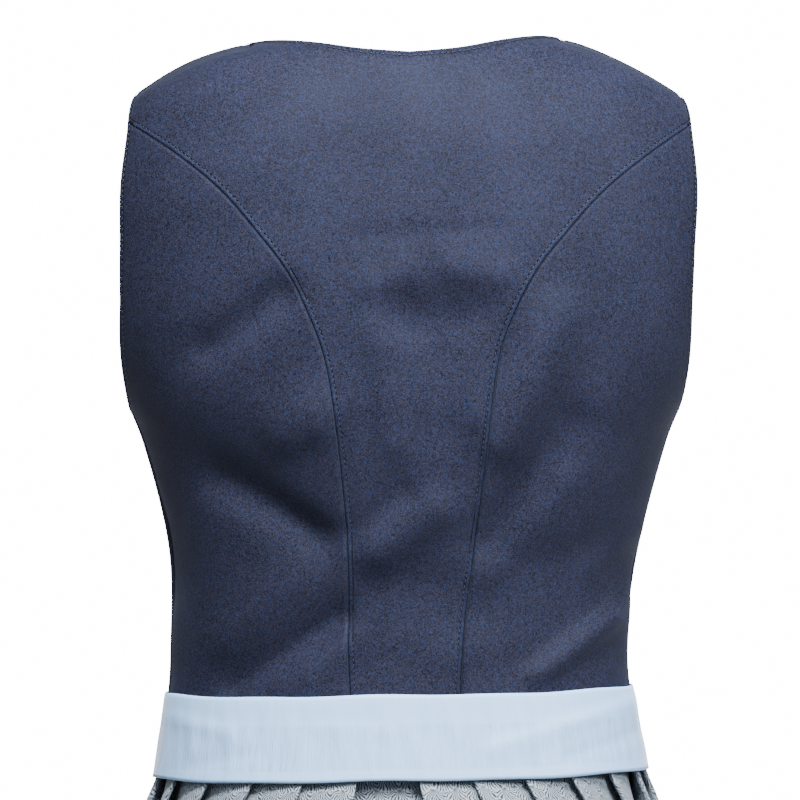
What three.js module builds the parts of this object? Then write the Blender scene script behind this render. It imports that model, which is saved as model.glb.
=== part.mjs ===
// A dirndl as it is worn, with nobody in it: a sleeveless bodice cut in seven panels, a knife-pleated
// skirt, and an apron whose wide sash goes round the waist and ties in a bow at the front.
// Millimetres. +Z is up, the front faces -Y and the wearer's left is +X. The origin lies between the
// shoulders, level with the top of the garment, where the wearer's shoulders carry it.
import * as THREE from "three";

// Cloth thicknesses and clearances
const SEAM_GAP = 0.3;
const BODICE_CLOTH = 2;
const SKIRT_CLOTH = 1.2;
const SASH_CLOTH = 1.2;
const APRON_CLOTH = 1;

// Heights
const WAIST_Z = -422;
const SASH_TOP_Z = -396;
const SASH_FOOT_Z = -447;
const SKIRT_HEM_Z = -1075;
const APRON_HEM_Z = -1040;

// Every ring round the body is a rounded oval: |x/width|^ROUNDNESS + |y/depth|^ROUNDNESS = 1
const ROUNDNESS = 2.25;

// The bodice's outer surface: half width, depth behind and before the middle, and the middle's y
const TORSO = [
  { z: 0, width: 90, back: 60, front: 42, middle: 0 },
  { z: -4, width: 107, back: 63, front: 47, middle: 0 },
  { z: -10, width: 124, back: 67, front: 53, middle: 0 },
  { z: -17, width: 139, back: 71, front: 58, middle: 0 },
  { z: -26, width: 154.5, back: 76, front: 63, middle: 0 },
  { z: -36, width: 168, back: 81, front: 67, middle: 0 },
  { z: -57, width: 177.5, back: 89, front: 75, middle: -1 },
  { z: -92, width: 187, back: 97, front: 85, middle: -3 },
  { z: -131, width: 187, back: 103, front: 94, middle: -5 },
  { z: -165, width: 183.6, back: 105, front: 101, middle: -6 },
  { z: -193, width: 178.2, back: 105, front: 107, middle: -7 },
  { z: -220, width: 169.3, back: 104, front: 111, middle: -8 },
  { z: -243, width: 159.5, back: 101, front: 112, middle: -9 },
  { z: -282, width: 149, back: 95, front: 108, middle: -10 },
  { z: -325, width: 141.8, back: 89, front: 100, middle: -11 },
  { z: -375, width: 140, back: 87.5, front: 97.5, middle: -12 },
  { z: -397, width: 141.4, back: 89, front: 98.5, middle: -12 },
  { z: -422, width: 145, back: 93.5, front: 102.5, middle: -12 },
];

// The line of the pleats' outer edges, and how far each pleat reaches under its neighbour
const SKIRT = [
  { z: -422, width: 144, back: 93, front: 102, middle: -12, underlap: 24.5 },
  { z: -447, width: 149.4, back: 100, front: 107, middle: -12, underlap: 24 },
  { z: -464, width: 156.5, back: 106.5, front: 112, middle: -12, underlap: 21.4 },
  { z: -495, width: 167, back: 119, front: 121, middle: -11, underlap: 14.5 },
  { z: -540, width: 183, back: 137, front: 135, middle: -10, underlap: 8 },
  { z: -610, width: 206, back: 161, front: 154, middle: -9, underlap: 1.3 },
  { z: -710, width: 233, back: 189, front: 181, middle: -7, underlap: -4 },
  { z: -830, width: 261, back: 219, front: 210, middle: -6, underlap: -8 },
  { z: -950, width: 288, back: 246, front: 238, middle: -5, underlap: -11 },
  { z: -1075, width: 315, back: 272, front: 264, middle: -5, underlap: -14 },
];
const PLEATS_A_SIDE = 13;
const PLEAT_CLOTH = 81;
const FOLD_THICKNESS = { waist: 1.8, hem: 5 };
const PLEAT_SHIFT = 12;
const PLEAT_WANDER = 0.1;
const BOX_SPREAD = 2.3;
const BOX_RECESS = 0.5;
const PLEAT_LEAN = { reach: 15, start: -430, end: -490 };
const SIDE_SEAM_PLEAT = 7;
const WAVE = { height: 9, count: 5, start: -520 };

// The sash's outer surface
const SASH = [
  { z: -396, width: 143.4, back: 91.8, front: 101.2, middle: -12 },
  { z: -413, width: 146, back: 94.6, front: 104, middle: -12 },
  { z: -430, width: 148.9, back: 98.6, front: 107.3, middle: -12 },
  { z: -447, width: 151.8, back: 102.8, front: 110.2, middle: -12 },
];
const SASH_COLUMNS = 52;

// The apron: half its width round the skirt, how far it stands off the pleats, and its gathers' height
const APRON = [
  { z: -447, half: 158, lift: 1.9, gather: 0.5 },
  { z: -462, half: 164, lift: 4.4, gather: 2.6 },
  { z: -490, half: 176, lift: 7.2, gather: 5 },
  { z: -540, half: 194, lift: 9.4, gather: 7 },
  { z: -620, half: 220, lift: 11, gather: 8.5 },
  { z: -720, half: 250, lift: 12, gather: 9 },
  { z: -830, half: 278, lift: 13, gather: 10 },
  { z: -940, half: 302, lift: 14, gather: 11 },
  { z: -1040, half: 322, lift: 15, gather: 12 },
];
const GATHERS = 14;
const GATHER_POINTS = 4;

// How the worn dress stands: it shifts sideways a little, and its level lines tilt
const STANCE = [
  { z: 0, shift: -2.4, tilt: -0.02 },
  { z: -12, shift: -2.8, tilt: -0.006 },
  { z: -35, shift: -5.2, tilt: 0 },
  { z: -154, shift: -2.6, tilt: 0 },
  { z: -220, shift: -3.4, tilt: 0 },
  { z: -300, shift: -3.5, tilt: -0.006 },
  { z: -375, shift: 0.1, tilt: -0.015 },
  { z: -450, shift: -1, tilt: -0.017 },
  { z: -700, shift: 0, tilt: -0.004 },
  { z: -1075, shift: 0, tilt: 0 },
];

// Armhole: an upright oval seen from the side
const ARMHOLE = { z: -130, halfHeight: 95, back: 45, front: 43 };
const SHOULDER_SEAM_Z = [-1, -5, -11, -18, -26, -35];
const BACK_SEAM_TOP_Z = -52;
const FRONT_SEAM_TOP_Z = -118;

// Necklines, from the centre to the shoulder seam
const BACK_NECK = [
  { x: 0, z: -11.2 },
  { x: 30, z: -8.6 },
  { x: 58, z: -3.6 },
  { x: 80, z: -0.8 },
];
const FRONT_NECK = [
  { x: 0, z: -162 },
  { x: 32, z: -159 },
  { x: 57, z: -148 },
  { x: 75, z: -124 },
  { x: 84, z: -90 },
  { x: 91, z: -48 },
];
const FRONT_OVERLAP = 12;

// Curved seams, from the waist up to the armhole
const BACK_SEAM = [
  { x: 32, z: -422 },
  { x: 33.5, z: -380 },
  { x: 37, z: -322 },
  { x: 41.8, z: -271 },
  { x: 48, z: -218 },
  { x: 56, z: -182 },
  { x: 73, z: -145 },
  { x: 93.5, z: -118 },
  { x: 116, z: -93 },
  { x: 143, z: -71 },
];
const FRONT_SEAM = [
  { x: 58, z: -422 },
  { x: 61, z: -370 },
  { x: 70, z: -310 },
  { x: 83, z: -250 },
  { x: 94, z: -205 },
  { x: 113, z: -168 },
  { x: 138, z: -137 },
];

// Spans along the edges of the panels, and how far down the shape of a top edge is felt
const SPANS = { seam: 12, armhole: 4, closing: 8, neck: 8, sideBack: 7, sideFront: 5 };
const TOP_REACH = 0.25;

// The bust cups, and the soft folds of the worn cloth. A fold runs from x, z to x2, z2.
const CUPS = { x: 84, z: -232, width: 50, height: 15 };
const FOLDS = [
  { face: "back", x: 121, z: -188, x2: 77, z2: -155, width: 10, height: -4 },
  { face: "back", x: 116, z: -268, x2: 58, z2: -303, width: 11, height: -5 },
  { face: "back", x: 104, z: -396, x2: 40, z2: -356, width: 10, height: -4.5 },
  { face: "back", x: -82, z: -384, x2: -126, z2: -353, width: 9, height: 3 },
  { face: "back", x: -54, z: -305, x2: -98, z2: -235, width: 14, height: -3.5 },
  { face: "back", x: -88, z: -168, x2: -54, z2: -244, width: 14, height: 3 },
  { face: "back", x: -1, z: -168, x2: -34, z2: -168, width: 18, height: -4.5 },
  { face: "back", x: 18, z: -308, x2: -14, z2: -286, width: 13, height: 3.5 },
  { face: "front", x: 120, z: -300, x2: 74, z2: -334, width: 12, height: -3.5 },
  { face: "front", x: -124, z: -352, x2: -66, z2: -384, width: 11, height: -3.5 },
  { face: "front", x: -112, z: -178, x2: -140, z2: -214, width: 12, height: -3 },
];

const BUTTONS = { count: 7, top: -180, step: 33, radius: 7, thickness: 4, gap: 0.4 };

// The bow sits to the wearer's left of the centre front. Its place is a share of the way round.
const BOW = { place: 0.452, z: -421.5, standOff: 1.4 };
const KNOT = { width: 26, height: 33, depth: 18, rows: 6, columns: 12 };
const LOOP = {
  length: 78,
  width: 50,
  pinch: 17,
  bulge: 20,
  droop: 0.16,
  front: 13,
  back: 5,
  fold: 2,
  rows: 14,
};
const TAILS = [
  { name: "left", side: 1, length: 395, slant: 24 },
  { name: "right", side: -1, length: 350, slant: -24 },
];
const TAIL = { width: 50, pinch: 13, opening: 240, gap: 1, spread: 8, fold: 3, rows: 12 };
const BOW_CLOTH = 1.4;

const CLOTHS = {
  navy: { color: 0x2c3448, roughness: 0.78, metalness: 0 },
  jacquard: { color: 0x8792a0, roughness: 0.72, metalness: 0 },
  paleBlue: { color: 0xc3d3e4, roughness: 0.6, metalness: 0 },
  button: { color: 0x8a8f98, roughness: 0.4, metalness: 0.6 },
};

// A smooth curve through one column of a table, read by another
function column(rows, key, by = "z") {
  const slopes = rows.map((row, i) => {
    const before = rows[Math.max(i - 1, 0)];
    const after = rows[Math.min(i + 1, rows.length - 1)];
    return (after[key] - before[key]) / (after[by] - before[by]);
  });
  const direction = Math.sign(rows[1][by] - rows[0][by]);
  return (at) => {
    let i = 0;
    while (i < rows.length - 2 && (at - rows[i + 1][by]) * direction > 0) i += 1;
    const span = rows[i + 1][by] - rows[i][by];
    const f = THREE.MathUtils.clamp((at - rows[i][by]) / span, 0, 1);
    const g = 1 - f;
    return (
      rows[i][key] * (1 + 2 * f) * g * g +
      rows[i + 1][key] * (3 - 2 * f) * f * f +
      slopes[i] * span * f * g * g -
      slopes[i + 1] * span * g * f * f
    );
  };
}

function columns(rows, ...keys) {
  return Object.fromEntries(keys.map((key) => [key, column(rows, key)]));
}

const torso = columns(TORSO, "width", "back", "front", "middle");
const skirt = columns(SKIRT, "width", "back", "front", "middle", "underlap");
const sash = columns(SASH, "width", "back", "front", "middle");
const apron = columns(APRON, "half", "lift", "gather");
const stance = columns(STANCE, "shift", "tilt");

const signedPower = (value, power) => Math.sign(value) * Math.abs(value) ** power;
const mix = THREE.MathUtils.lerp;
const spread = (count) => Array.from({ length: count + 1 }, (_, i) => i / count);

// A point on a ring of the body. The turn is 0 at the centre back and pi at the centre front.
function ringPoint(rings, turn, z) {
  const across = signedPower(Math.sin(turn), 2 / ROUNDNESS);
  const along = signedPower(Math.cos(turn), 2 / ROUNDNESS);
  const depth = along > 0 ? rings.back(z) : rings.front(z);
  return new THREE.Vector3(rings.width(z) * across, rings.middle(z) + depth * along, z);
}

// The turn at which the bodice's ring has a given x, or a given distance behind or before the middle
function turnAtX(x, z, face) {
  const share = THREE.MathUtils.clamp(x / torso.width(z), -1, 1);
  const turn = Math.asin(signedPower(share, ROUNDNESS / 2));
  return face === "back" ? turn : Math.PI - turn;
}
function turnAtDepth(depth, z, face) {
  const share = Math.min(depth / torso[face](z), 1);
  const turn = Math.acos(share ** (ROUNDNESS / 2));
  return face === "back" ? turn : Math.PI - turn;
}

// How far the worn cloth stands off the plain torso: cups and folds
function relief(point) {
  const face = point.y > torso.middle(point.z) ? "back" : "front";
  let height = 0;
  if (face === "front") {
    const across = (Math.abs(point.x) - CUPS.x) / CUPS.width;
    const along = (point.z - CUPS.z) / CUPS.width;
    height += CUPS.height * Math.exp(-across * across - along * along);
  }
  for (const fold of FOLDS.filter((entry) => entry.face === face)) {
    const run = new THREE.Vector2(fold.x2 - fold.x, fold.z2 - fold.z);
    const from = new THREE.Vector2(point.x - fold.x, point.z - fold.z);
    const along = THREE.MathUtils.clamp(from.dot(run) / run.lengthSq(), 0, 1);
    const away = from.sub(run.multiplyScalar(along)).length() / fold.width;
    height += fold.height * Math.exp(-away * away);
  }
  return height;
}

// A point on the bodice, moved out along its normal
function bodicePoint(turn, z, outward) {
  const step = 0.01;
  const round = ringPoint(torso, turn + step, z).sub(ringPoint(torso, turn - step, z));
  const up = ringPoint(torso, turn, z + 0.5).sub(ringPoint(torso, turn, z - 0.5));
  const normal = up.cross(round).normalize();
  const point = ringPoint(torso, turn, z);
  return point.addScaledVector(normal, relief(point) + outward);
}

// The stance moves every finished point of the dress alike
function stand(point) {
  const { x, y, z } = point;
  return new THREE.Vector3(x + stance.shift(z), y, z + stance.tilt(z) * x);
}

// A closed wall between two grids of points with the same rows and columns
function wall(outer, inner) {
  const rows = outer.length;
  const count = outer[0].length;
  const points = [...outer.flat(), ...inner.flat()].map(stand);
  const at = (layer, i, j) => layer * rows * count + i * count + j;
  const faces = [];
  const quad = (a, b, c, d) => faces.push(a, b, c, a, c, d);
  for (let i = 0; i < rows - 1; i += 1) {
    for (let j = 0; j < count - 1; j += 1) {
      quad(at(0, i, j), at(0, i, j + 1), at(0, i + 1, j + 1), at(0, i + 1, j));
      quad(at(1, i, j), at(1, i + 1, j), at(1, i + 1, j + 1), at(1, i, j + 1));
    }
    quad(at(0, i, 0), at(0, i + 1, 0), at(1, i + 1, 0), at(1, i, 0));
    const end = count - 1;
    quad(at(0, i, end), at(1, i, end), at(1, i + 1, end), at(0, i + 1, end));
  }
  for (let j = 0; j < count - 1; j += 1) {
    const end = rows - 1;
    quad(at(0, 0, j), at(1, 0, j), at(1, 0, j + 1), at(0, 0, j + 1));
    quad(at(0, end, j), at(0, end, j + 1), at(1, end, j + 1), at(1, end, j));
  }
  return solid(points, faces);
}

// Closed round the body: each row's last point meets its first
function tube(outer, inner) {
  const rows = outer.length;
  const count = outer[0].length;
  const points = [...outer.flat(), ...inner.flat()].map(stand);
  const at = (layer, i, j) => layer * rows * count + i * count + (j % count);
  const faces = [];
  const quad = (a, b, c, d) => faces.push(a, b, c, a, c, d);
  for (let j = 0; j < count; j += 1) {
    for (let i = 0; i < rows - 1; i += 1) {
      quad(at(0, i, j), at(0, i, j + 1), at(0, i + 1, j + 1), at(0, i + 1, j));
      quad(at(1, i, j), at(1, i + 1, j), at(1, i + 1, j + 1), at(1, i, j + 1));
    }
    const end = rows - 1;
    quad(at(0, 0, j), at(1, 0, j), at(1, 0, j + 1), at(0, 0, j + 1));
    quad(at(0, end, j), at(0, end, j + 1), at(1, end, j + 1), at(1, end, j));
  }
  return solid(points, faces);
}

// The faces are turned round where the grid runs the other way, as it does on a mirrored piece
function solid(points, faces) {
  let volume = 0;
  for (let i = 0; i < faces.length; i += 3) {
    const [a, b, c] = [points[faces[i]], points[faces[i + 1]], points[faces[i + 2]]];
    volume += a.dot(b.clone().cross(c));
  }
  const geometry = new THREE.BufferGeometry().setFromPoints(points);
  geometry.setIndex(volume < 0 ? faces.reverse() : faces);
  geometry.computeVertexNormals();
  return geometry;
}

const dirndl = new THREE.Group();

function add(name, geometry, cloth, group = dirndl) {
  const mesh = new THREE.Mesh(geometry, new THREE.MeshStandardMaterial(CLOTHS[cloth]));
  mesh.name = name;
  group.add(mesh);
  return mesh;
}

// Bodice: a place on it is a pair, either x and z as seen from one face, or the turn and z

const mirrored = (places) => places.map(([a, z]) => [-a, z]);
const turned = (places, face) => places.map(([x, z]) => [turnAtX(x, z, face), z]);

// Places along the armhole's edge, by the angle round its oval from the top
function armhole(face, from, to, spans) {
  return spread(spans).map((f) => {
    const angle = mix(from, to, f);
    const z = ARMHOLE.z + ARMHOLE.halfHeight * Math.cos(angle);
    return [turnAtDepth(ARMHOLE[face] * Math.sin(angle), z, face), z];
  });
}
const armholeAngle = (z) => Math.acos((z - ARMHOLE.z) / ARMHOLE.halfHeight);
const flat = ([turn, z]) => [ringPoint(torso, turn, z).x, z];

// Evenly spaced places, x and z, on a smooth line through points
function spaced(points, spans) {
  const curve = new THREE.SplineCurve(points.map(([x, z]) => new THREE.Vector2(x, z)));
  return curve.getSpacedPoints(spans).map(({ x, y: z }) => [x, z]);
}
const pairs = (rows) => rows.map(({ x, z }) => [x, z]);

const shoulderSeam = SHOULDER_SEAM_Z.map((z) => flat([Math.PI / 2, z]));
const underarmZ = ARMHOLE.z - ARMHOLE.halfHeight;
const sideSeam = spread(SPANS.seam).map((f) => [Math.PI / 2, mix(WAIST_Z, underarmZ, f)]);
const backAngle = armholeAngle(BACK_SEAM_TOP_Z);
const frontAngle = armholeAngle(FRONT_SEAM_TOP_Z);
const backSeamTop = flat(armhole("back", backAngle, backAngle, 1)[0]);
const frontSeamTop = flat(armhole("front", frontAngle, frontAngle, 1)[0]);
const backSeam = spaced([...pairs(BACK_SEAM), backSeamTop], SPANS.seam);
const frontSeam = spaced([...pairs(FRONT_SEAM), frontSeamTop], SPANS.seam);

// Places over a whole panel: rows run from its left edge to its right, and the topmost rows take on
// the shape of its top edge. The reach says how far down that is felt, and 1 is all the way.
function patch(top, left, right, reach) {
  const rows = left.length - 1;
  const spans = top.length - 1;
  return left.map((_, row) =>
    top.map((_, i) =>
      [0, 1].map((k) => {
        const ruled = mix(left[row][k], right[row][k], i / spans);
        const shape = top[i][k] - mix(left[rows][k], right[rows][k], i / spans);
        return ruled + shape * (row / rows) ** (1 / reach);
      }),
    ),
  );
}

const pull = (point, towards) => {
  const step = towards.clone().sub(point);
  return point.clone().add(step.setLength(SEAM_GAP / 2));
};

// Half the seam gap is taken off a grid's first and last columns
function narrowed(grid) {
  return grid.map((row) => {
    const last = row.length - 1;
    return [pull(row[0], row[1]), ...row.slice(1, last), pull(row[last], row[last - 1])];
  });
}

// Half the seam gap is taken off each of a panel's four edges
function trimmed(grid) {
  const narrow = narrowed(grid);
  const last = narrow.length - 1;
  return narrow.map((row, i) => {
    if (i === 0) return row.map((point, j) => pull(point, narrow[1][j]));
    if (i === last) return row.map((point, j) => pull(point, narrow[last - 1][j]));
    return row;
  });
}

function bodicePanel(name, places) {
  const surface = (outward) =>
    trimmed(places.map((row) => row.map(([turn, z]) => bodicePoint(turn, z, outward))));
  add(name, wall(surface(0), surface(-BODICE_CLOTH)), "navy");
}

function bothSides(name, places) {
  bodicePanel(`${name}_left`, places);
  bodicePanel(`${name}_right`, places.map(mirrored));
}

function buildBodice() {
  const backTop = [...pairs(BACK_NECK), ...shoulderSeam];
  const backEdge = [...mirrored(backTop.slice(1)).reverse(), ...backTop];
  const backSide = [...backSeam, shoulderSeam[shoulderSeam.length - 1]];
  const back = patch(backEdge, mirrored(backSide), backSide, TOP_REACH);
  bodicePanel("bodice_back", back.map((row) => turned(row, "back")));

  const sideBackTop = armhole("back", backAngle, Math.PI, SPANS.sideBack);
  bothSides("bodice_side_back", patch(sideBackTop, turned(backSeam, "back"), sideSeam, 1));
  const sideFrontTop = armhole("front", frontAngle, Math.PI, SPANS.sideFront);
  bothSides("bodice_side_front", patch(sideFrontTop, turned(frontSeam, "front"), sideSeam, 1));

  bodicePanel("bodice_front_left", frontPanel(FRONT_OVERLAP));
  bodicePanel("bodice_front_right", frontPanel(-FRONT_OVERLAP).map(mirrored));
}

// A front reaches from its closing edge and the neckline out to its curved seam and the armhole. The
// closing edge lies beyond the centre on the front that laps over the other.
function frontPanel(closingX) {
  const corner = [closingX, FRONT_NECK[0].z + 0.4];
  const neckline = pairs(FRONT_NECK).filter(([x]) => x > closingX);
  const closing = spread(SPANS.closing).map((f) => [closingX, mix(WAIST_Z, corner[1], f)]);
  const neckEdge = spaced([corner, ...neckline, shoulderSeam[0]], SPANS.neck);
  const armholeEdge = armhole("front", frontAngle, 0, SPANS.armhole).map(flat);
  const inside = [...closing, ...neckEdge.slice(1)];
  const outside = [...frontSeam, ...armholeEdge.slice(1)];
  return patch(shoulderSeam, inside, outside, TOP_REACH).map((row) => turned(row, "front"));
}

// Buttons down the centre of the front overlap, each seated on the cloth below it
function buildButtons() {
  const { radius, thickness } = BUTTONS;
  const profile = [
    [0, 0],
    [radius * 0.85, 0],
    [radius, thickness * 0.35],
    [radius * 0.7, thickness * 0.85],
    [0, thickness],
  ].map(([x, y]) => new THREE.Vector2(x, y));
  const front = dirndl.getObjectByName("bodice_front_right");
  const seat = (x, z) => {
    const from = new THREE.Vector3(x, -2 * CUPS.width - 200, z);
    const ray = new THREE.Raycaster(from, new THREE.Vector3(0, 1, 0));
    return ray.intersectObject(front)[0].point;
  };
  for (let i = 0; i < BUTTONS.count; i += 1) {
    const z = BUTTONS.top - i * BUTTONS.step;
    const x = stance.shift(z);
    const reach = radius * 0.85;
    const across = seat(x + reach, z).sub(seat(x - reach, z));
    const up = seat(x, z + reach).sub(seat(x, z - reach));
    const out = across.cross(up).normalize();
    const button = add(`button_${i + 1}`, new THREE.LatheGeometry(profile, 10), "button");
    button.quaternion.setFromUnitVectors(new THREE.Vector3(0, 1, 0), out);
    const sides = [seat(x + reach, z), seat(x - reach, z), seat(x, z + reach), seat(x, z - reach)];
    const middle = seat(x, z);
    const rise = Math.max(0, ...sides.map((point) => point.sub(middle).dot(out)));
    button.position.copy(middle).addScaledVector(out, rise + BUTTONS.gap);
  }
}

// Skirt

// Walks round a ring by distance: 0 is the centre back, and the wearer's left comes first
const walks = new Map();
function ringWalk(rings, z) {
  if (!walks.has(rings)) walks.set(rings, new Map());
  const known = walks.get(rings);
  if (!known.has(z)) known.set(z, measuredRing(rings, z));
  return known.get(z);
}

function measuredRing(rings, z) {
  const parts = 720;
  const points = spread(parts).map((f) => ringPoint(rings, f * 2 * Math.PI, z));
  const travelled = [0];
  for (let i = 1; i <= parts; i += 1) {
    travelled.push(travelled[i - 1] + points[i].distanceTo(points[i - 1]));
  }
  const length = travelled[parts];
  const walk = (distance, outward) => {
    const wanted = THREE.MathUtils.euclideanModulo(distance, length);
    let low = 0;
    let high = parts;
    while (high - low > 1) {
      const middle = (low + high) >> 1;
      if (travelled[middle] <= wanted) low = middle;
      else high = middle;
    }
    const f = (wanted - travelled[low]) / (travelled[high] - travelled[low]);
    const along = points[high].clone().sub(points[low]).normalize();
    const point = points[low].clone().lerp(points[high], f);
    return point.add(new THREE.Vector3(-along.y, along.x, 0).multiplyScalar(outward));
  };
  return { walk, length };
}

// The depth at which a pleat of this pitch and underlap uses up its cloth
function pleatDepth(pitch, underlap) {
  let low = 0;
  let high = PLEAT_CLOTH / 2;
  for (let i = 0; i < 30; i += 1) {
    const depth = (low + high) / 2;
    const used = Math.hypot(pitch + underlap, depth) + Math.hypot(underlap, depth);
    if (used < PLEAT_CLOTH) low = depth;
    else high = depth;
  }
  return low;
}

// The cloth's line at one height, as distances round the ring and depths below its edge, for the half
// of the skirt that starts at the middle of the box pleat
function pleatLine(z, pitch, side) {
  const open = THREE.MathUtils.smoothstep(-z, -SASH_FOOT_Z, 640);
  const fold = mix(FOLD_THICKNESS.waist, FOLD_THICKNESS.hem, open);
  const curve = mix(1, 1.5, open);
  const lean = PLEAT_LEAN.reach * THREE.MathUtils.smoothstep(-z, -PLEAT_LEAN.start, -PLEAT_LEAN.end);
  const edges = [];
  for (let k = 1; k <= PLEATS_A_SIDE; k += 1) {
    const share = k / PLEATS_A_SIDE;
    const drift = PLEAT_WANDER * pitch * open * Math.sin(2.4 * k + side);
    const pushed = BOX_SPREAD * (1 - share) + lean * Math.sin(2 * Math.PI * share);
    edges.push((k - 0.5) * pitch + drift + pushed);
  }
  const underlap = skirt.underlap(z);
  const boxDepth = pleatDepth(pitch, underlap);
  const line = [[0, -BOX_RECESS * boxDepth]];
  edges.forEach((edge, k) => {
    const before = k === 0 ? edge - pitch : edges[k - 1];
    const depth = pleatDepth(edge - before, underlap);
    const step = k === 0 ? boxDepth : depth;
    line.push([edge + underlap, -step], [edge + underlap, fold - step]);
    line.push([edge, -fold], [edge, 0]);
    const next = k + 1 < edges.length ? edges[k + 1] : edge + pitch;
    const reach = next - edge + underlap;
    const nextDepth = pleatDepth(next - edge, underlap);
    const crowns = k + 1 < edges.length ? [0.3, 0.72] : [0.3];
    for (const share of crowns) {
      const run = share * (next - edge);
      line.push([edge + run, -nextDepth * (run / reach) ** curve]);
    }
  });
  const half = 0.5 * pitch;
  const lastDepth = pleatDepth(pitch, underlap);
  line.push([PLEATS_A_SIDE * pitch, -lastDepth * (half / (pitch + underlap)) ** curve]);
  return line;
}

// One ring of the skirt's cloth: its middle line all the way round, from the centre front and back to it
function skirtRing(z) {
  const { walk, length } = ringWalk(skirt, z);
  const pitch = length / (2 * PLEATS_A_SIDE);
  const left = pleatLine(z, pitch, 0);
  const right = pleatLine(z, pitch, 1.7).map(([distance, depth]) => [-distance, depth]);
  const line = [...right.slice(1, -1).reverse(), ...left];
  const fade = THREE.MathUtils.smoothstep(-z, -WAVE.start, -SKIRT_HEM_Z);
  return line.map(([distance, depth]) => {
    const wave = Math.sin((distance / length) * WAVE.count * 2 * Math.PI + 1);
    return walk(distance + PLEAT_SHIFT, depth + WAVE.height * fade * (wave - 1) * 0.5);
  });
}

// A ring's line moved sideways in its own plane, with square corners kept square
function offsetRing(ring, distance) {
  const count = ring.length;
  const normalOf = (a, b) => {
    const along = b.clone().sub(a).normalize();
    return new THREE.Vector3(-along.y, along.x, 0);
  };
  return ring.map((point, i) => {
    const before = normalOf(ring[(i + count - 1) % count], point);
    const after = normalOf(point, ring[(i + 1) % count]);
    const corner = before.clone().add(after);
    const reach = Math.max(corner.lengthSq() / 2, 0.5);
    return point.clone().addScaledVector(corner, distance / reach);
  });
}

function buildSkirt() {
  const heights = SKIRT.map(({ z }) => z);
  heights[0] -= SEAM_GAP / 2;
  const rings = heights.map(skirtRing);
  const layer = (distance) => rings.map((ring) => offsetRing(ring, distance));
  const outer = layer(SKIRT_CLOTH / 2);
  const inner = layer(-SKIRT_CLOTH / 2);
  const middle = rings[0].length / 2 - 1;
  const reach = 6 * SIDE_SEAM_PLEAT - 1;
  const cut = (layerRings, from, count) =>
    layerRings.map((ring) => Array.from({ length: count }, (_, i) => ring[(from + i) % ring.length]));
  const halves = {
    skirt_back: [middle - reach, 2 * reach + 1],
    skirt_front: [middle + reach, rings[0].length - 2 * reach + 1],
  };
  for (const [name, [from, count]] of Object.entries(halves)) {
    const sides = [outer, inner].map((faces) => narrowed(cut(faces, from, count)));
    add(name, wall(...sides), "jacquard");
  }
}

// Sash and apron

function buildSash() {
  const layer = (outward) =>
    SASH.map(({ z }) => {
      const { walk, length } = ringWalk(sash, z);
      return spread(SASH_COLUMNS)
        .slice(0, -1)
        .map((f) => walk(f * length, outward));
    });
  add("sash", tube(layer(0), layer(-SASH_CLOTH)), "paleBlue");
}

// The apron's surface: across is -1 at its right edge and 1 at its left
function apronPoint(across, z, outward) {
  const { walk, length } = ringWalk(skirt, z);
  const uneven = 0.5 * Math.sin(3.1 * across + z / 170);
  const gather = Math.cos(Math.PI * GATHERS * across + uneven) * (1 + 0.25 * Math.sin(5 * across));
  const calm = Math.min(1, (1 - Math.abs(across)) * 6 + 0.25);
  const height = apron.lift(z) + apron.gather(z) * gather * 0.8 * calm;
  return walk(length / 2 - across * apron.half(z), height + outward);
}

function buildApron() {
  const heights = APRON.map(({ z }) => z);
  heights[0] -= SEAM_GAP;
  const layer = (outward) =>
    heights.map((z) =>
      spread(GATHERS * GATHER_POINTS).map((f) => apronPoint(2 * f - 1, z, outward)),
    );
  add("apron", wall(layer(APRON_CLOTH / 2), layer(-APRON_CLOTH / 2)), "paleBlue");
}

// Bow

// A place on the bow: x runs to the wearer's left from the knot, and out stands off the sash and apron
function bowPoint(x, out, z) {
  const { walk, length } = ringWalk(skirt, z);
  const lift = apron.lift(z) + apron.gather(z) + BOW.standOff;
  return walk(length * BOW.place - x, lift + out);
}

// The two faces of a sheet of cloth, half its thickness to each side of a grid of points
function faces(grid, thickness) {
  const last = [grid.length - 1, grid[0].length - 1];
  const normals = grid.map((row, i) =>
    row.map((_, j) => {
      const across = row[Math.min(j + 1, last[1])].clone().sub(row[Math.max(j - 1, 0)]);
      const down = grid[Math.min(i + 1, last[0])][j].clone().sub(grid[Math.max(i - 1, 0)][j]);
      return across.cross(down).normalize();
    }),
  );
  return [thickness / 2, -thickness / 2].map((distance) =>
    grid.map((row, i) => row.map((point, j) => point.clone().addScaledVector(normals[i][j], distance))),
  );
}

function buildKnot() {
  const { width, height, depth } = KNOT;
  const rows = spread(KNOT.rows).map((f) => {
    const swell = Math.sqrt(1 - 0.55 * (2 * f - 1) ** 2);
    return spread(KNOT.columns)
      .slice(0, -1)
      .map((g) => {
        const angle = g * 2 * Math.PI;
        const x = 0.5 * width * swell * signedPower(Math.cos(angle), 0.8);
        const out = 0.5 * depth * (1 + swell * signedPower(Math.sin(angle), 0.8));
        return stand(bowPoint(x, out, BOW.z + (f - 0.5) * height));
      });
  });
  const indices = [];
  const count = KNOT.columns;
  for (let i = 0; i < KNOT.rows; i += 1) {
    for (let j = 0; j < count; j += 1) {
      const k = (j + 1) % count;
      const [a, b] = [i * count, (i + 1) * count];
      indices.push(a + j, a + k, b + k, a + j, b + k, b + j);
    }
  }
  const top = KNOT.rows * count;
  for (let j = 1; j < count - 1; j += 1) indices.push(0, j + 1, j, top, top + j, top + j + 1);
  add("bow_knot", solid(rows.flat(), indices), "paleBlue");
}

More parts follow.
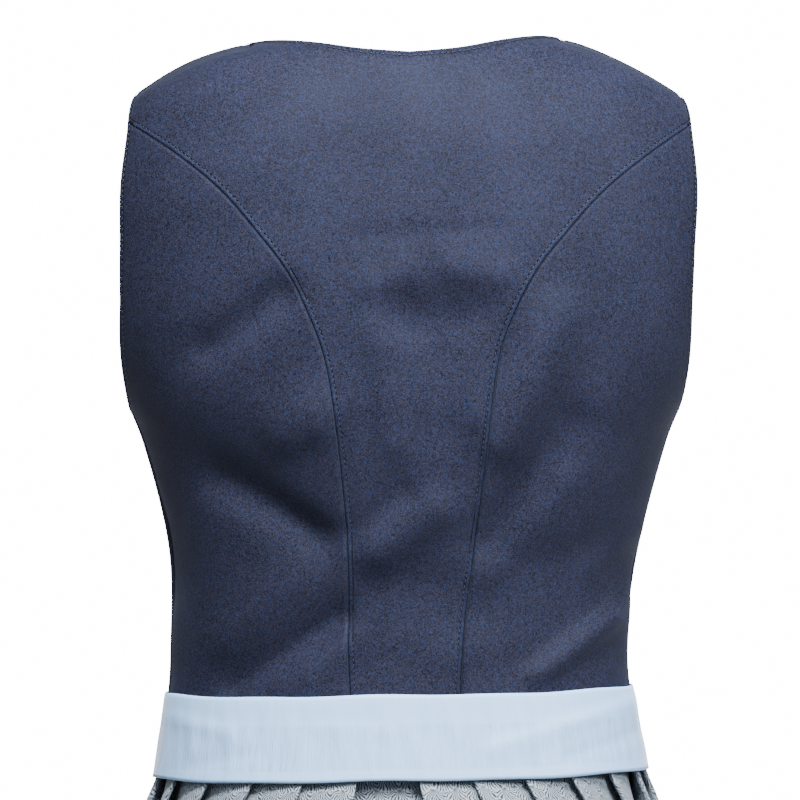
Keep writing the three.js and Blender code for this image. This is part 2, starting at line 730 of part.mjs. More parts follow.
// A loop is a strip that leaves the front of the knot, turns back on itself and ends behind the knot
function buildLoop(name, side) {
  const start = KNOT.width / 2 + SEAM_GAP;
  const path = (t) => {
    const swing = Math.sin(2 * Math.PI * t);
    const bulge = LOOP.bulge * swing * (swing > 0 ? 1 : 0.1);
    return [start + LOOP.length * Math.sin(Math.PI * t), mix(LOOP.front, LOOP.back, t) + bulge];
  };
  const grid = spread(LOOP.rows).map((t) => {
    const [x, out] = path(t);
    const open = Math.sin(Math.PI * t);
    const width = mix(LOOP.pinch, LOOP.width, open ** 0.7);
    return spread(8).map((f) => {
      const fold = LOOP.fold * (1 - open) * Math.cos(4 * Math.PI * f);
      const z = BOW.z + (f - 0.5) * width - LOOP.droop * (x - start);
      return bowPoint(side * x, out + fold, z);
    });
  });
  add(`bow_loop_${name}`, wall(...faces(grid, BOW_CLOTH)), "paleBlue");
}

// A tail hangs from under the knot down the front of the apron, and its end is cut on the slant
function buildTail({ name, side, length, slant }) {
  const top = BOW.z - KNOT.height / 2 - SEAM_GAP;
  const grid = spread(TAIL.rows).map((t) => {
    const open = THREE.MathUtils.smoothstep(t * length, 0, TAIL.opening);
    const width = mix(TAIL.pinch, TAIL.width, open);
    const centre = width / 2 + TAIL.gap + TAIL.spread * open;
    return spread(8).map((f) => {
      const fold = mix(1, TAIL.fold, open) * (1 + Math.cos(4 * Math.PI * f + 0.8 * t));
      const z = top - t * (length + slant * (f - 0.5));
      return bowPoint(side * (centre + (f - 0.5) * width), BOW_CLOTH / 2 + fold, z);
    });
  });
  add(`bow_tail_${name}`, wall(...faces(grid, BOW_CLOTH)), "paleBlue");
}

buildBodice();
buildButtons();
buildSkirt();
buildSash();
buildApron();
buildKnot();
buildLoop("left", 1);
buildLoop("right", -1);
TAILS.forEach(buildTail);

export default dirndl;
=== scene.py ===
"""A dirndl as it is worn, with nobody in it, seen from behind.

A suede-look bodice in seven panels with lapped seams, a knife-pleated jacquard skirt, and an apron of
sheer cloth whose sash goes round the waist and ties in a bow at the front. Lengths are millimetres,
and MM turns them into metres where the meshes are made. +Z is up and the front faces -Y.
"""

import math
from functools import partialmethod

import bmesh
import bpy
import numpy as np

from bpy.props import FloatProperty, FloatVectorProperty, IntProperty, PointerProperty
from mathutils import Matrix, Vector
from mathutils.kdtree import KDTree


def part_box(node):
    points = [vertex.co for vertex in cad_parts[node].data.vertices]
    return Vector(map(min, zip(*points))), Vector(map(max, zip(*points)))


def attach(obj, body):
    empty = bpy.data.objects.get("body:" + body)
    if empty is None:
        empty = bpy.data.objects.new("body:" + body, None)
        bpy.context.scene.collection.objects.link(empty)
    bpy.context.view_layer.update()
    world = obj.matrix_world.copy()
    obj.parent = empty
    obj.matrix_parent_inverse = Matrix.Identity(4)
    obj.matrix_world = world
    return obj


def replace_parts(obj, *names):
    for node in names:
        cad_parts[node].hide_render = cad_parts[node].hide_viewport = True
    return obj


bl_info = {
    "name": "Dirndl",
    "version": (1, 0, 0),
    "blender": (4, 5, 0),
    "location": "3D View > Sidebar > Dirndl",
    "description": "Makes a dirndl's bodice, skirt, apron, bow, stitching and studio",
    "category": "Add Mesh",
}

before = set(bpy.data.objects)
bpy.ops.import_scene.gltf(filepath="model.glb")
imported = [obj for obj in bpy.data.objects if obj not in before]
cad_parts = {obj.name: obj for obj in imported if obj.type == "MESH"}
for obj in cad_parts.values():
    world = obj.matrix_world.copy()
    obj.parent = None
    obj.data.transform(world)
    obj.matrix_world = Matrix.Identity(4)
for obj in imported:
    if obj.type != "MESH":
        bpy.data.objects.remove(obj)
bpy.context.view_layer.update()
MM = 0.001


def table(names, *rows):
    """A table's rows as dicts. The columns' names are given once, and a short row leaves out its last."""
    return [dict(zip(names.split(), row)) for row in rows]


# Cloth thicknesses and clearances
SEAM_GAP = 0.3
BODICE_CLOTH = 2
SKIRT_CLOTH = 1.2
SASH_CLOTH = 1.2
APRON_CLOTH = 1
BOW_CLOTH = 1.4

WAIST_Z = -422
SASH_FOOT_Z = -447
SKIRT_HEM_Z = -1075

# Every ring round the body is a rounded oval: |x/width|^ROUNDNESS + |y/depth|^ROUNDNESS = 1
ROUNDNESS = 2.25

# The bodice's outer surface: half width, depth behind and before the middle, and the middle's y
TORSO = table(
    "z width back front middle",
    (0, 90, 60, 42, 0),
    (-4, 107, 63, 47, 0),
    (-10, 124, 67, 53, 0),
    (-17, 139, 71, 58, 0),
    (-26, 154.5, 76, 63, 0),
    (-36, 168, 81, 67, 0),
    (-57, 177.5, 89, 75, -1),
    (-92, 187, 97, 85, -3),
    (-131, 187, 103, 94, -5),
    (-165, 183.6, 105, 101, -6),
    (-193, 178.2, 105, 107, -7),
    (-220, 169.3, 104, 111, -8),
    (-243, 159.5, 101, 112, -9),
    (-282, 149, 95, 108, -10),
    (-325, 141.8, 89, 100, -11),
    (-375, 140, 87.5, 97.5, -12),
    (-397, 141.4, 89, 98.5, -12),
    (-422, 145, 93.5, 102.5, -12),
)

# The line of the pleats' outer edges, and how far each pleat reaches under its neighbour
SKIRT = table(
    "z width back front middle underlap",
    (-422, 144, 93, 102, -12, 24.5),
    (-447, 149.4, 100, 107, -12, 24),
    (-464, 156.5, 106.5, 112, -12, 21.4),
    (-495, 167, 119, 121, -11, 14.5),
    (-540, 183, 137, 135, -10, 8),
    (-610, 206, 161, 154, -9, 1.3),
    (-710, 233, 189, 181, -7, -4),
    (-830, 261, 219, 210, -6, -8),
    (-950, 288, 246, 238, -5, -11),
    (-1075, 315, 272, 264, -5, -14),
)
PLEATS_A_SIDE = 13
PLEAT_CLOTH = 81
FOLD_THICKNESS = dict(waist=1.8, hem=5)
PLEAT_SHIFT = 12
PLEAT_WANDER = 0.1
BOX_SPREAD = 2.3
BOX_RECESS = 0.5
PLEAT_LEAN = dict(reach=15, start=-430, end=-490)
SIDE_SEAM_PLEAT = 7
WAVE = dict(height=9, count=5, start=-520)

# The sash's outer surface
SASH = table(
    "z width back front middle",
    (-396, 143.4, 91.8, 101.2, -12),
    (-413, 146, 94.6, 104, -12),
    (-430, 148.9, 98.6, 107.3, -12),
    (-447, 151.8, 102.8, 110.2, -12),
)

# The apron: half its width round the skirt, how far it stands off the pleats, its gathers' height
APRON = table(
    "z half lift gather",
    (-447, 158, 1.9, 0.5),
    (-462, 164, 4.4, 2.6),
    (-490, 176, 7.2, 5),
    (-540, 194, 9.4, 7),
    (-620, 220, 11, 8.5),
    (-720, 250, 12, 9),
    (-830, 278, 13, 10),
    (-940, 302, 14, 11),
    (-1040, 322, 15, 12),
)
GATHERS = 14
APRON_CUT = 780

# How the worn dress stands: it shifts sideways a little, and its level lines tilt
STANCE = table(
    "z shift tilt",
    (0, -2.4, -0.02),
    (-12, -2.8, -0.006),
    (-35, -5.2, 0),
    (-154, -2.6, 0),
    (-220, -3.4, 0),
    (-300, -3.5, -0.006),
    (-375, 0.1, -0.015),
    (-450, -1, -0.017),
    (-700, 0, -0.004),
    (-1075, 0, 0),
)

ARMHOLE = dict(z=-130, half_height=95, back=45, front=43)
SHOULDER_SEAM_Z = [-1, -5, -11, -18, -26, -35]
BACK_SEAM_TOP_Z = -52
FRONT_SEAM_TOP_Z = -118
FRONT_OVERLAP = 12

# Necklines from the centre to the shoulder seam, and curved seams from the waist to the armhole
BACK_NECK = [(0, -11.2), (30, -8.6), (58, -3.6), (80, -0.8)]
FRONT_NECK = [(0, -162), (32, -159), (57, -148), (75, -124), (84, -90), (91, -48)]
BACK_SEAM = [
    (32, -422), (33.5, -380), (37, -322), (41.8, -271), (48, -218),
    (56, -182), (73, -145), (93.5, -118), (116, -93), (143, -71),
]
FRONT_SEAM = [(58, -422), (61, -370), (70, -310), (83, -250), (94, -205), (113, -168), (138, -137)]

# The bust cups, and the soft folds of the worn cloth. A fold runs from x, z to x2, z2.
CUPS = dict(x=84, z=-232, width=50, height=15)
FOLDS = table(
    "face x z x2 z2 width height",
    ("back", 121, -188, 77, -155, 10, -4),
    ("back", 116, -268, 58, -303, 11, -5),
    ("back", 104, -396, 40, -356, 10, -4.5),
    ("back", -82, -384, -126, -353, 9, 3),
    ("back", -54, -305, -98, -235, 14, -3.5),
    ("back", -88, -168, -54, -244, 14, 3),
    ("back", -1, -168, -34, -168, 18, -4.5),
    ("back", 18, -308, -14, -286, 13, 3.5),
    ("front", 120, -300, 74, -334, 12, -3.5),
    ("front", -124, -352, -66, -384, 11, -3.5),
    ("front", -112, -178, -140, -214, 12, -3),
)

# Smaller creases, which only the fine cloth shows. Each has its own width above and below its line,
# and one that fades loses that share of its height by its second end.
CREASES = table(
    "face x z x2 z2 above below height fade",
    ("back", 127, -196, 78, -163, 16, 9, -1.8),
    ("back", 74, -240, 60, -234, 19, 14, 5),
    ("back", 119, -257, 52, -304, 12, 24, -3),
    ("back", 100, -384, 50, -352, 34, 9, -4.6),
    ("back", 100, -268, 64, -292, 28, 9, -2.4),
    ("back", -78, -372, -124, -340, 34, 9, -3.4),
    ("back", 111, -362, 70, -330, 12, 12, 1.6),
    ("back", 122, -396, 42, -349, 14, 8, -3.8),
    ("back", 58, -384, 34, -360, 6, 9, 2.4),
    ("back", 122, -412, 84, -402, 14, 10, -3.6),
    ("back", 150, -300, 136, -330, 16, 18, -2.4),
    ("back", 22, -152, 4, -146, 12, 9, 2.4),
    ("back", 20, -178, 8, -184, 9, 16, 1.4),
    ("back", -26, -142, -52, -146, 11, 9, 2.2),
    ("back", -8, -182, -24, -181, 19, 46, -4.4),
    ("back", -20, -196, -16, -240, 11, 11, -2),
    ("back", 31, -122, -52, -117, 6, 6, -0.8),
    ("back", 18, -190, 12, -246, 11, 9, 2.2),
    ("back", -42, -180, -36, -230, 8, 8, 1.8),
    ("back", 20, -314, -8, -284, 12, 17, 2),
    ("back", 34, -300, 6, -276, 9, 8, -2.2),
    ("back", 18, -332, -43, -334, 14, 24, -2.4),
    ("back", -92, -172, -54, -246, 13, 12, 1.6),
    ("back", -46, -304, -114, -188, 16, 16, -3, 0.7),
    ("back", -92, -268, -44, -326, 10, 11, 2.2),
    ("back", -74, -322, -120, -310, 16, 22, -2.8),
    ("back", -112, -322, -136, -302, 9, 9, 1.6),
    ("back", -79, -386, -124, -354, 5, 8, 1.6),
    ("back", -20, -374, -70, -368, 14, 12, 1.6),
    ("front", 122, -284, 76, -316, 6, 9, 1.4),
    ("front", -122, -336, -70, -368, 6, 9, 1.4),
    ("front", 46, -186, 20, -214, 6, 8, -1.2),
    ("front", -44, -190, -18, -222, 6, 8, -1.1),
    ("front", 30, -396, 48, -350, 7, 7, -1.2),
    ("front", -36, -392, -50, -344, 7, 7, 1.1),
    ("front", 104, -300, 60, -352, 9, 11, -1.6),
    ("front", -96, -290, -62, -330, 9, 10, -1.4),
    ("front", 28, -330, 34, -286, 9, 9, 1),
)

# Folds of the sash: one runs up to the right behind, and some draw in to the knot
SASH_FOLDS = table(
    "face x z x2 z2 above below height fade",
    ("back", -52, -427, -138, -405, 3.5, 8, 1.3),
    ("back", -96, -436, -142, -424, 4, 5, -0.7),
    ("back", 138, -409, 104, -418, 4, 6, 0.8),
    ("back", 128, -437, 92, -430, 5, 4, -0.6),
    ("back", 52, -414, 8, -417, 3, 6, 0.4),
    ("front", 96, -404, 62, -416, 4, 6, 1.2, -0.6),
    ("front", 104, -438, 64, -426, 5, 4, 1.1, -0.6),
    ("front", -52, -408, 10, -417, 4, 6, 1, -0.6),
    ("front", -46, -438, 12, -427, 5, 4, 1, -0.6),
    ("front", -118, -426, -72, -418, 4, 6, -0.7),
)

BUTTONS = dict(count=7, top=-180, step=33, radius=7, thickness=4, gap=0.4)

# The bow sits to the wearer's left of the centre front. Its place is a share of the way round.
BOW = dict(place=0.452, z=-421.5, stand_off=1.4)
KNOT = dict(width=26, height=33, depth=18)
LOOP = dict(length=78, width=50, pinch=17, bulge=20, droop=0.16, front=13, back=5, fold=2, cloth=190)
TAILS = table(
    "name side length slant",
    ("left", 1, 395, 24),
    ("right", -1, 350, -24),
)
TAIL = dict(width=50, pinch=13, opening=240, gap=1, spread=8, fold=3)

# Sewing. The seam allowance is the cloth turned in and pressed flat behind each seam.
STITCH = dict(length=2.3, gap=1.0, radius=0.24, lift=0.25, from_welt=0.45)
WELT = dict(width=2.3, height=0.6)
SHOULDER_WELT = dict(width=2.2, height=0.45)
SIDE_WELT = dict(width=1.6, height=0.3)
ROLL_RADIUS = 1.25
TOPSTITCH = 2.4
ALLOWANCE = [(-3.5, -1.2), (-2, -0.4), (2, -0.4), (3.5, -1.2), (2, -1.2), (-2, -1.2)]

# Shares of the way up a skirt pleat where it is softly rounded, and how rows end in a panel's top edge
CROWNS = (0.3, 0.72)
TOP_REACH = 0.25

# The width of the bow's strips in their flat cloth
BOW_STRIP = 52

# The meshes' fineness, as counts of rows and of points in a row
FINE = dict(seam=110, ridge=22, neck=26, closing=60, armhole=28, back_top=3, side=44)
RING_STEPS = 1440
LINE_GAP = 0.5
CORNER_POINTS = 4
SKIRT_RINGS = 58
SASH_GRID = dict(rows=22, points=360)
APRON_GRID = dict(rows=60, points=336)
KNOT_GRID = dict(rows=20, points=48)
LOOP_GRID = dict(rows=48, points=40)
TAIL_GRID = dict(rows=90, points=40)
BUTTON_POINTS = 40
BUTTON_BOSSES = 10

# A button from the middle of its back to the middle of its dome, in shares of its radius and thickness
BUTTON_PROFILE = [
    (0, -0.5),
    (0.86, -0.5),
    (1, -0.2),
    (1, 0.1),
    (0.92, 0.24),
    (0.84, 0.12),
    (0.76, 0.16),
    (0.6, 0.34),
    (0.35, 0.46),
    (0, 0.5),
]

# The jacquard's fans, and the heights in the sash between which its cloth lies doubled
FAN = dict(width=13.0, rise=7.4, radius=9.6, rays=30)
LAYERS = dict(top=17.5, foot=44)


def paint(red, green, blue):
    """A linear colour from the 0 to 255 values that an eye or a camera reads."""
    values = [value / 255 for value in (red, green, blue)]
    return (*[v / 12.92 if v <= 0.04045 else ((v + 0.055) / 1.055) ** 2.4 for v in values], 1)


NAVY = paint(32, 32, 45)
NAVY_EDGE = paint(30, 33, 51)
NAVY_FLECK = paint(25, 36, 63)
THREAD = paint(38, 43, 60)
SKIRT_LIGHT = paint(150, 164, 178)
SKIRT_DARK = paint(34, 41, 51)
PALE_BLUE = paint(160, 203, 252)
SILVER_DARK = paint(92, 94, 100)
SILVER_LIGHT = paint(172, 174, 180)
FLOOR_DARK = paint(238, 238, 238)
FLOOR_LIGHT = paint(244, 244, 244)

# The room's light and the brightness of what the camera sees behind the dress, and the lamps in metres
FLOOR = dict(z=-1085, radius=3.2, points=96)
ROOM = dict(light=0.22, backdrop=16)
LAMPS = [
    dict(name="key", place=(-1.5, 1.5, 0.9), target=(0, 0, -0.2), size=0.9, power=84),
    dict(name="fill", place=(2.1, 1.8, 1.3), target=(0, 0, -0.2), size=1.2, power=24),
    dict(name="top", place=(0.05, 1.1, 1.2), target=(0, 0, -0.2), size=0.55, power=112),
    dict(name="front", place=(-1.2, -3, 1.3), target=(0, 0, -0.5), size=1.8, power=260, glossy=False),
]

# The photograph's view: its scale is fixed at the dress's axis, and the camera is level
PHOTO_PIXELS = 800
PHOTO_SCALE = 0.61
CAMERA = dict(azimuth=177.5, distance=3900, height=-219.6, sensor=36)


# Curves and rings


def column(rows, key):
    """A smooth curve through one column of a table, read by z."""
    z = np.array([row["z"] for row in rows], float)
    values = np.array([row[key] for row in rows], float)
    before = np.maximum(np.arange(len(z)) - 1, 0)
    after = np.minimum(np.arange(len(z)) + 1, len(z) - 1)
    slopes = (values[after] - values[before]) / (z[after] - z[before])

    def read(at):
        i = np.clip(np.searchsorted(-z, -np.asarray(at, float), side="right") - 1, 0, len(z) - 2)
        span = z[i + 1] - z[i]
        f = np.clip((at - z[i]) / span, 0, 1)
        g = 1 - f
        return (
            values[i] * (1 + 2 * f) * g * g
            + values[i + 1] * (3 - 2 * f) * f * f
            + slopes[i] * span * f * g * g
            - slopes[i + 1] * span * g * f * f
        )

    return read


def columns(rows, *keys):
    return {key: column(rows, key) for key in keys}


RING_KEYS = ("width", "back", "front", "middle")
torso = columns(TORSO, *RING_KEYS)
skirt = columns(SKIRT, *RING_KEYS, "underlap")
sash = columns(SASH, *RING_KEYS)
apron = columns(APRON, "half", "lift", "gather")
stance = columns(STANCE, "shift", "tilt")


def signed_power(value, power):
    return np.sign(value) * np.abs(value) ** power


def mix(a, b, f):
    return a + (b - a) * f


def smoothstep(value, low, high):
    f = np.clip((value - low) / (high - low), 0, 1)
    return f * f * (3 - 2 * f)


def steps(count):
    return np.linspace(0, 1, count + 1)


def unit(vectors):
    return vectors / np.maximum(np.linalg.norm(vectors, axis=-1, keepdims=True), 1e-12)


def ring_point(rings, turn, z):
    """A point on a ring of the body. The turn is 0 at the centre back and pi at the centre front."""
    across = signed_power(np.sin(turn), 2 / ROUNDNESS)
    along = signed_power(np.cos(turn), 2 / ROUNDNESS)
    depth = np.where(along > 0, rings["back"](z), rings["front"](z))
    x = rings["width"](z) * across
    y = rings["middle"](z) + depth * along
    return np.stack(np.broadcast_arrays(x, y, z), axis=-1).astype(float)


def turn_at_x(x, z, face):
    share = np.clip(x / torso["width"](z), -1, 1)
    turn = np.arcsin(signed_power(share, ROUNDNESS / 2))
    return turn if face == "back" else np.pi - turn


def turn_at_depth(depth, z, face):
    turn = np.arccos(np.minimum(depth / torso[face](z), 1) ** (ROUNDNESS / 2))
    return turn if face == "back" else np.pi - turn


def raised(folds, x, z, behind):
    """The height of soft folds at x, z. Each runs along its own line and dies away on both sides."""
    height = np.zeros(np.shape(x))
    for fold in folds:
        run_x, run_z = fold["x2"] - fold["x"], fold["z2"] - fold["z"]
        length = math.hypot(run_x, run_z)
        from_x, from_z = x - fold["x"], z - fold["z"]
        share = np.clip((from_x * run_x + from_z * run_z) / length**2, 0, 1)
        off_x, off_z = from_x - share * run_x, from_z - share * run_z
        away = np.hypot(off_x, off_z)
        turned_up = (run_x * off_z - run_z * off_x) * np.sign(run_x)
        upward = turned_up / np.maximum(away * length, 1e-9)
        above, below = (fold.get(side, fold.get("width")) for side in ("above", "below"))
        width = mix(below, above, smoothstep(upward, -1, 1))
        top = fold["height"] * (1 - fold.get("fade", 0) * share)
        face = behind if fold["face"] == "back" else ~behind
        height = height + np.where(face, top * np.exp(-((away / width) ** 2)), 0)
    return height


def relief(points):
    """How far the worn cloth stands off the plain torso: cups, folds and creases."""
    x, y, z = points[..., 0], points[..., 1], points[..., 2]
    behind = y > torso["middle"](z)
    across = (np.abs(x) - CUPS["x"]) / CUPS["width"]
    along = (z - CUPS["z"]) / CUPS["width"]
    height = np.where(behind, 0, CUPS["height"] * np.exp(-(across**2) - along**2))
    return height + raised(FOLDS + CREASES, x, z, behind)


def bodice_frame(turn, z):
    """Points on the bodice and their outward normals."""
    turn, z = np.asarray(turn, float), np.asarray(z, float)
    round_it = ring_point(torso, turn + 0.01, z) - ring_point(torso, turn - 0.01, z)
    up = ring_point(torso, turn, z + 0.5) - ring_point(torso, turn, z - 0.5)
    normal = unit(np.cross(up, round_it))
    point = ring_point(torso, turn, z)
    return point + normal * relief(point)[..., None], normal


def bodice_point(turn, z, outward):
    point, normal = bodice_frame(turn, z)
    return point + normal * outward


def stand(points):
    """The stance moves every finished point of the dress alike."""
    x, y, z = points[..., 0], points[..., 1], points[..., 2]
    return np.stack([x + stance["shift"](z), y, z + stance["tilt"](z) * x], axis=-1)


# Edges of the bodice's panels, as pairs: x and z as seen from one face, or the turn and z


def mirrored(places):
    return places * np.array([-1, 1])


def turned(places, face):
    turn = turn_at_x(places[..., 0], places[..., 1], face)
    return np.stack([turn, places[..., 1]], axis=-1)


def flattened(places):
    return ring_point(torso, places[..., 0], places[..., 1])[..., [0, 2]]


def armhole_angle(z):
    return math.acos((z - ARMHOLE["z"]) / ARMHOLE["half_height"])


def armhole(face, start, end, spans):
    angle = mix(start, end, steps(spans))
    z = ARMHOLE["z"] + ARMHOLE["half_height"] * np.cos(angle)
    return np.stack([turn_at_depth(ARMHOLE[face] * np.sin(angle), z, face), z], axis=-1)


def spaced(points, spans):
    """Evenly spaced places on a smooth line through points."""
    points = np.array(points, float)
    last = len(points) - 1
    t = np.linspace(0, last, 40 * last + 1)
    i = np.minimum(t.astype(int), last - 1)
    f = (t - i)[:, None]
    p0 = points[np.maximum(i - 1, 0)]
    p1, p2 = points[i], points[i + 1]
    p3 = points[np.minimum(i + 2, last)]
    v0, v1 = (p2 - p0) / 2, (p3 - p1) / 2
    curve = (
        (2 * p1 - 2 * p2 + v0 + v1) * f**3
        + (-3 * p1 + 3 * p2 - 2 * v0 - v1) * f**2
        + v0 * f
        + p1
    )
    return evenly(curve, spans)


def evenly(line, spans):
    lengths = np.linalg.norm(np.diff(line, axis=0), axis=1)
    travelled = np.concatenate([[0], np.cumsum(lengths)])
    at = steps(spans) * travelled[-1]
    return np.stack([np.interp(at, travelled, line[:, k]) for k in range(line.shape[1])], axis=1)


UNDERARM_Z = ARMHOLE["z"] - ARMHOLE["half_height"]
BACK_ANGLE = armhole_angle(BACK_SEAM_TOP_Z)
FRONT_ANGLE = armhole_angle(FRONT_SEAM_TOP_Z)


def shoulder_seam():
    at = steps(FINE["ridge"])
    z = np.interp(at, steps(len(SHOULDER_SEAM_Z) - 1), SHOULDER_SEAM_Z)
    return flattened(np.stack([np.full_like(z, np.pi / 2), z], axis=-1))


def curved_seam(points, face, angle):
    top = flattened(armhole(face, angle, angle, 1))[0]
    return spaced([*points, tuple(top)], FINE["seam"])


def side_seam():
    z = mix(WAIST_Z, UNDERARM_Z, steps(FINE["seam"]))
    return np.stack([np.full_like(z, np.pi / 2), z], axis=-1)


def patch(top, left, right, reach):
    """Places over a whole panel: its rows run between the sides and end in the top edge's shape."""
    s = steps(len(top) - 1)[None, :, None]
    v = steps(len(left) - 1)[:, None, None]
    ruled = mix(left[:, None, :], right[:, None, :], s)
    shape = top[None] - mix(left[-1], right[-1], s)
    return ruled + shape * v ** (1 / reach)


def both_halves(half):
    """A line from the centre out to one side, joined to its mirror image."""
    return np.concatenate([mirrored(half[1:])[::-1], half])


def neck_line(points, spans):
    return spaced([*points, tuple(shoulder_seam()[0])], spans)


def back_places():
    top = both_halves(np.concatenate([neck_line(BACK_NECK, FINE["neck"]), shoulder_seam()[1:]]))
    seam = curved_seam(BACK_SEAM, "back", BACK_ANGLE)
    rise = mix(seam[-1], shoulder_seam()[-1], steps(FINE["back_top"])[1:, None])
    side = np.concatenate([seam, rise])
    return turned(patch(top, mirrored(side), side, TOP_REACH), "back")


def front_places(closing_x):
    corner = (closing_x, FRONT_NECK[0][1] + 0.4)
    neckline = [place for place in FRONT_NECK if place[0] > closing_x]
    z = mix(WAIST_Z, corner[1], steps(FINE["closing"]))
    closing = np.stack([np.full_like(z, closing_x), z], axis=-1)
    seam = curved_seam(FRONT_SEAM, "front", FRONT_ANGLE)
    rows = FINE["seam"] + FINE["armhole"]
    neck = neck_line([corner, *neckline], rows - FINE["closing"])
    inside = np.concatenate([closing, neck[1:]])
    arm = flattened(armhole("front", FRONT_ANGLE, 0, FINE["armhole"]))
    outside = np.concatenate([seam, arm[1:]])
    return turned(patch(shoulder_seam(), inside, outside, TOP_REACH), "front")


def side_places(face):
    points, angle = (BACK_SEAM, BACK_ANGLE) if face == "back" else (FRONT_SEAM, FRONT_ANGLE)
    top = armhole(face, angle, np.pi, FINE["side"])
    return patch(top, turned(curved_seam(points, face, angle), face), side_seam(), 1)


# Skirt


class RingWalk:
    """Walks round a ring by distance: 0 is the centre back, and the wearer's left comes first."""

    def __init__(self, rings, z):
        self.points = ring_point(rings, steps(RING_STEPS) * 2 * np.pi, float(z))
        lengths = np.linalg.norm(np.diff(self.points, axis=0), axis=1)
        self.travelled = np.concatenate([[0], np.cumsum(lengths)])
        self.length = self.travelled[-1]

    def walk(self, distance, outward):
        wanted = np.mod(distance, self.length)
        i = np.clip(np.searchsorted(self.travelled, wanted, side="right") - 1, 0, RING_STEPS - 1)
        f = (wanted - self.travelled[i]) / (self.travelled[i + 1] - self.travelled[i])
        step = self.points[i + 1] - self.points[i]
        along = unit(step)
        normal = np.stack([-along[..., 1], along[..., 0], np.zeros_like(f)], axis=-1)
        return self.points[i] + step * f[..., None] + normal * np.asarray(outward)[..., None]


def pleat_depth(pitch, underlap):
    """The depth at which a pleat of this pitch and underlap uses up its cloth."""
    low, high = 0.0, PLEAT_CLOTH / 2
    for _ in range(30):
        depth = (low + high) / 2
        if math.hypot(pitch + underlap, depth) + math.hypot(underlap, depth) < PLEAT_CLOTH:
            low = depth
        else:
            high = depth
    return low


def pleat_line(z, pitch, side):
    """Half the skirt's line at one height: distance, depth, cloth used so far and corner radius."""
    opened = float(smoothstep(-z, -SASH_FOOT_Z, 640))
    fold = mix(FOLD_THICKNESS["waist"], FOLD_THICKNESS["hem"], opened)
    curve = mix(1, 1.5, opened)
    crisp = mix(0.45, 1.6, opened)
    soft = 40
    drift = PLEAT_WANDER * pitch * opened
    lean = PLEAT_LEAN["reach"] * float(smoothstep(-z, -PLEAT_LEAN["start"], -PLEAT_LEAN["end"]))
    edges = []
    for k in range(1, PLEATS_A_SIDE + 1):
        share = k / PLEATS_A_SIDE
        pushed = BOX_SPREAD * (1 - share) + lean * math.sin(2 * math.pi * share)
        edges.append((k - 0.5) * pitch + drift * math.sin(2.4 * k + side) + pushed)
    underlap = float(skirt["underlap"](z))
    box_depth = pleat_depth(pitch, underlap)
    under = 0.3 * PLEAT_CLOTH
    line = [(0, -BOX_RECESS * box_depth, 0, soft)]
    edges.append(edges[-1] + pitch)
    for k, edge in enumerate(edges[:-1]):
        depth = box_depth if k == 0 else pleat_depth(edge - edges[k - 1], underlap)
        cloth = (k + 0.5) * PLEAT_CLOTH
        line += [
            (edge + underlap, -depth, cloth, crisp),
            (edge + underlap, fold - depth, cloth + 2, crisp),
            (edge, -fold, cloth + under - 2, crisp),
            (edge, 0, cloth + under, crisp),
        ]
        width = edges[k + 1] - edge
        next_depth = pleat_depth(width, underlap)
        for crown in CROWNS if k + 2 < len(edges) else CROWNS[:1]:
            share = crown * width / (width + underlap)
            used = cloth + under + (PLEAT_CLOTH - under) * share
            line.append((edge + crown * width, -next_depth * share**curve, used, soft))
    share = 0.5 * pitch / (pitch + underlap)
    end = (PLEATS_A_SIDE - 0.5) * PLEAT_CLOTH + under + (PLEAT_CLOTH - under) * share
    line.append((PLEATS_A_SIDE * pitch, -box_depth * share**curve, end, soft))
    return line


def skirt_ring(z):
    """The cloth's middle line all the way round, with each point's place in the flat cloth."""
    ring = RingWalk(skirt, z)
    pitch = ring.length / (2 * PLEATS_A_SIDE)
    left = np.array(pleat_line(z, pitch, 0))
    right = np.array(pleat_line(z, pitch, 1.7)) * np.array([-1, 1, -1, 1])
    line = np.concatenate([right[1:-1][::-1], left])
    fade = smoothstep(-z, -WAVE["start"], -SKIRT_HEM_Z)
    wave = np.sin(line[:, 0] / ring.length * WAVE["count"] * 2 * np.pi + 1)
    depth = line[:, 1] + WAVE["height"] * fade * (wave - 1) * 0.5
    return ring.walk(line[:, 0] + PLEAT_SHIFT, depth), line[:, 2], line[:, 3]


def rounded(ring, cloth, radius):
    """A closed ring whose corners are arcs, with the places in the flat cloth carried along."""
    whole = 2 * PLEATS_A_SIDE * PLEAT_CLOTH
    legs = []
    for way in (1, -1):
        leg = np.roll(ring, way, axis=0) - ring
        run = np.mod(np.roll(cloth, way) - cloth + whole / 2, whole) - whole / 2
        cut = np.minimum(radius / np.linalg.norm(leg, axis=1), 0.46)
        legs.append((leg * cut[:, None], run * cut))
    (before, cloth_before), (after, cloth_after) = legs
    points, places = [], []
    for t in steps(CORNER_POINTS):
        points.append(ring + before * (1 - t) ** 2 + after * t**2)
        places.append(cloth + cloth_before * (1 - t) ** 2 + cloth_after * t**2)
    return np.stack(points, axis=1).reshape(-1, 3), np.stack(places, axis=1).reshape(-1)


def ring_normals(ring):
    along = unit(np.roll(ring, -1, axis=0) - np.roll(ring, 1, axis=0))
    return np.stack([-along[:, 1], along[:, 0], np.zeros(len(ring))], axis=-1)


# Sash, apron and bow


def apron_point(across, z, outward):
    ring = RingWalk(skirt, z)
    uneven = 0.5 * np.sin(3.1 * across + z / 170)
    gather = np.cos(np.pi * GATHERS * across + uneven) * (1 + 0.25 * np.sin(5 * across))
    calm = np.minimum(1, (1 - np.abs(across)) * 6 + 0.25)
    height = apron["lift"](z) + apron["gather"](z) * gather * 0.8 * calm
    return ring.walk(ring.length / 2 - across * apron["half"](z), height + outward)


WALKS = {}


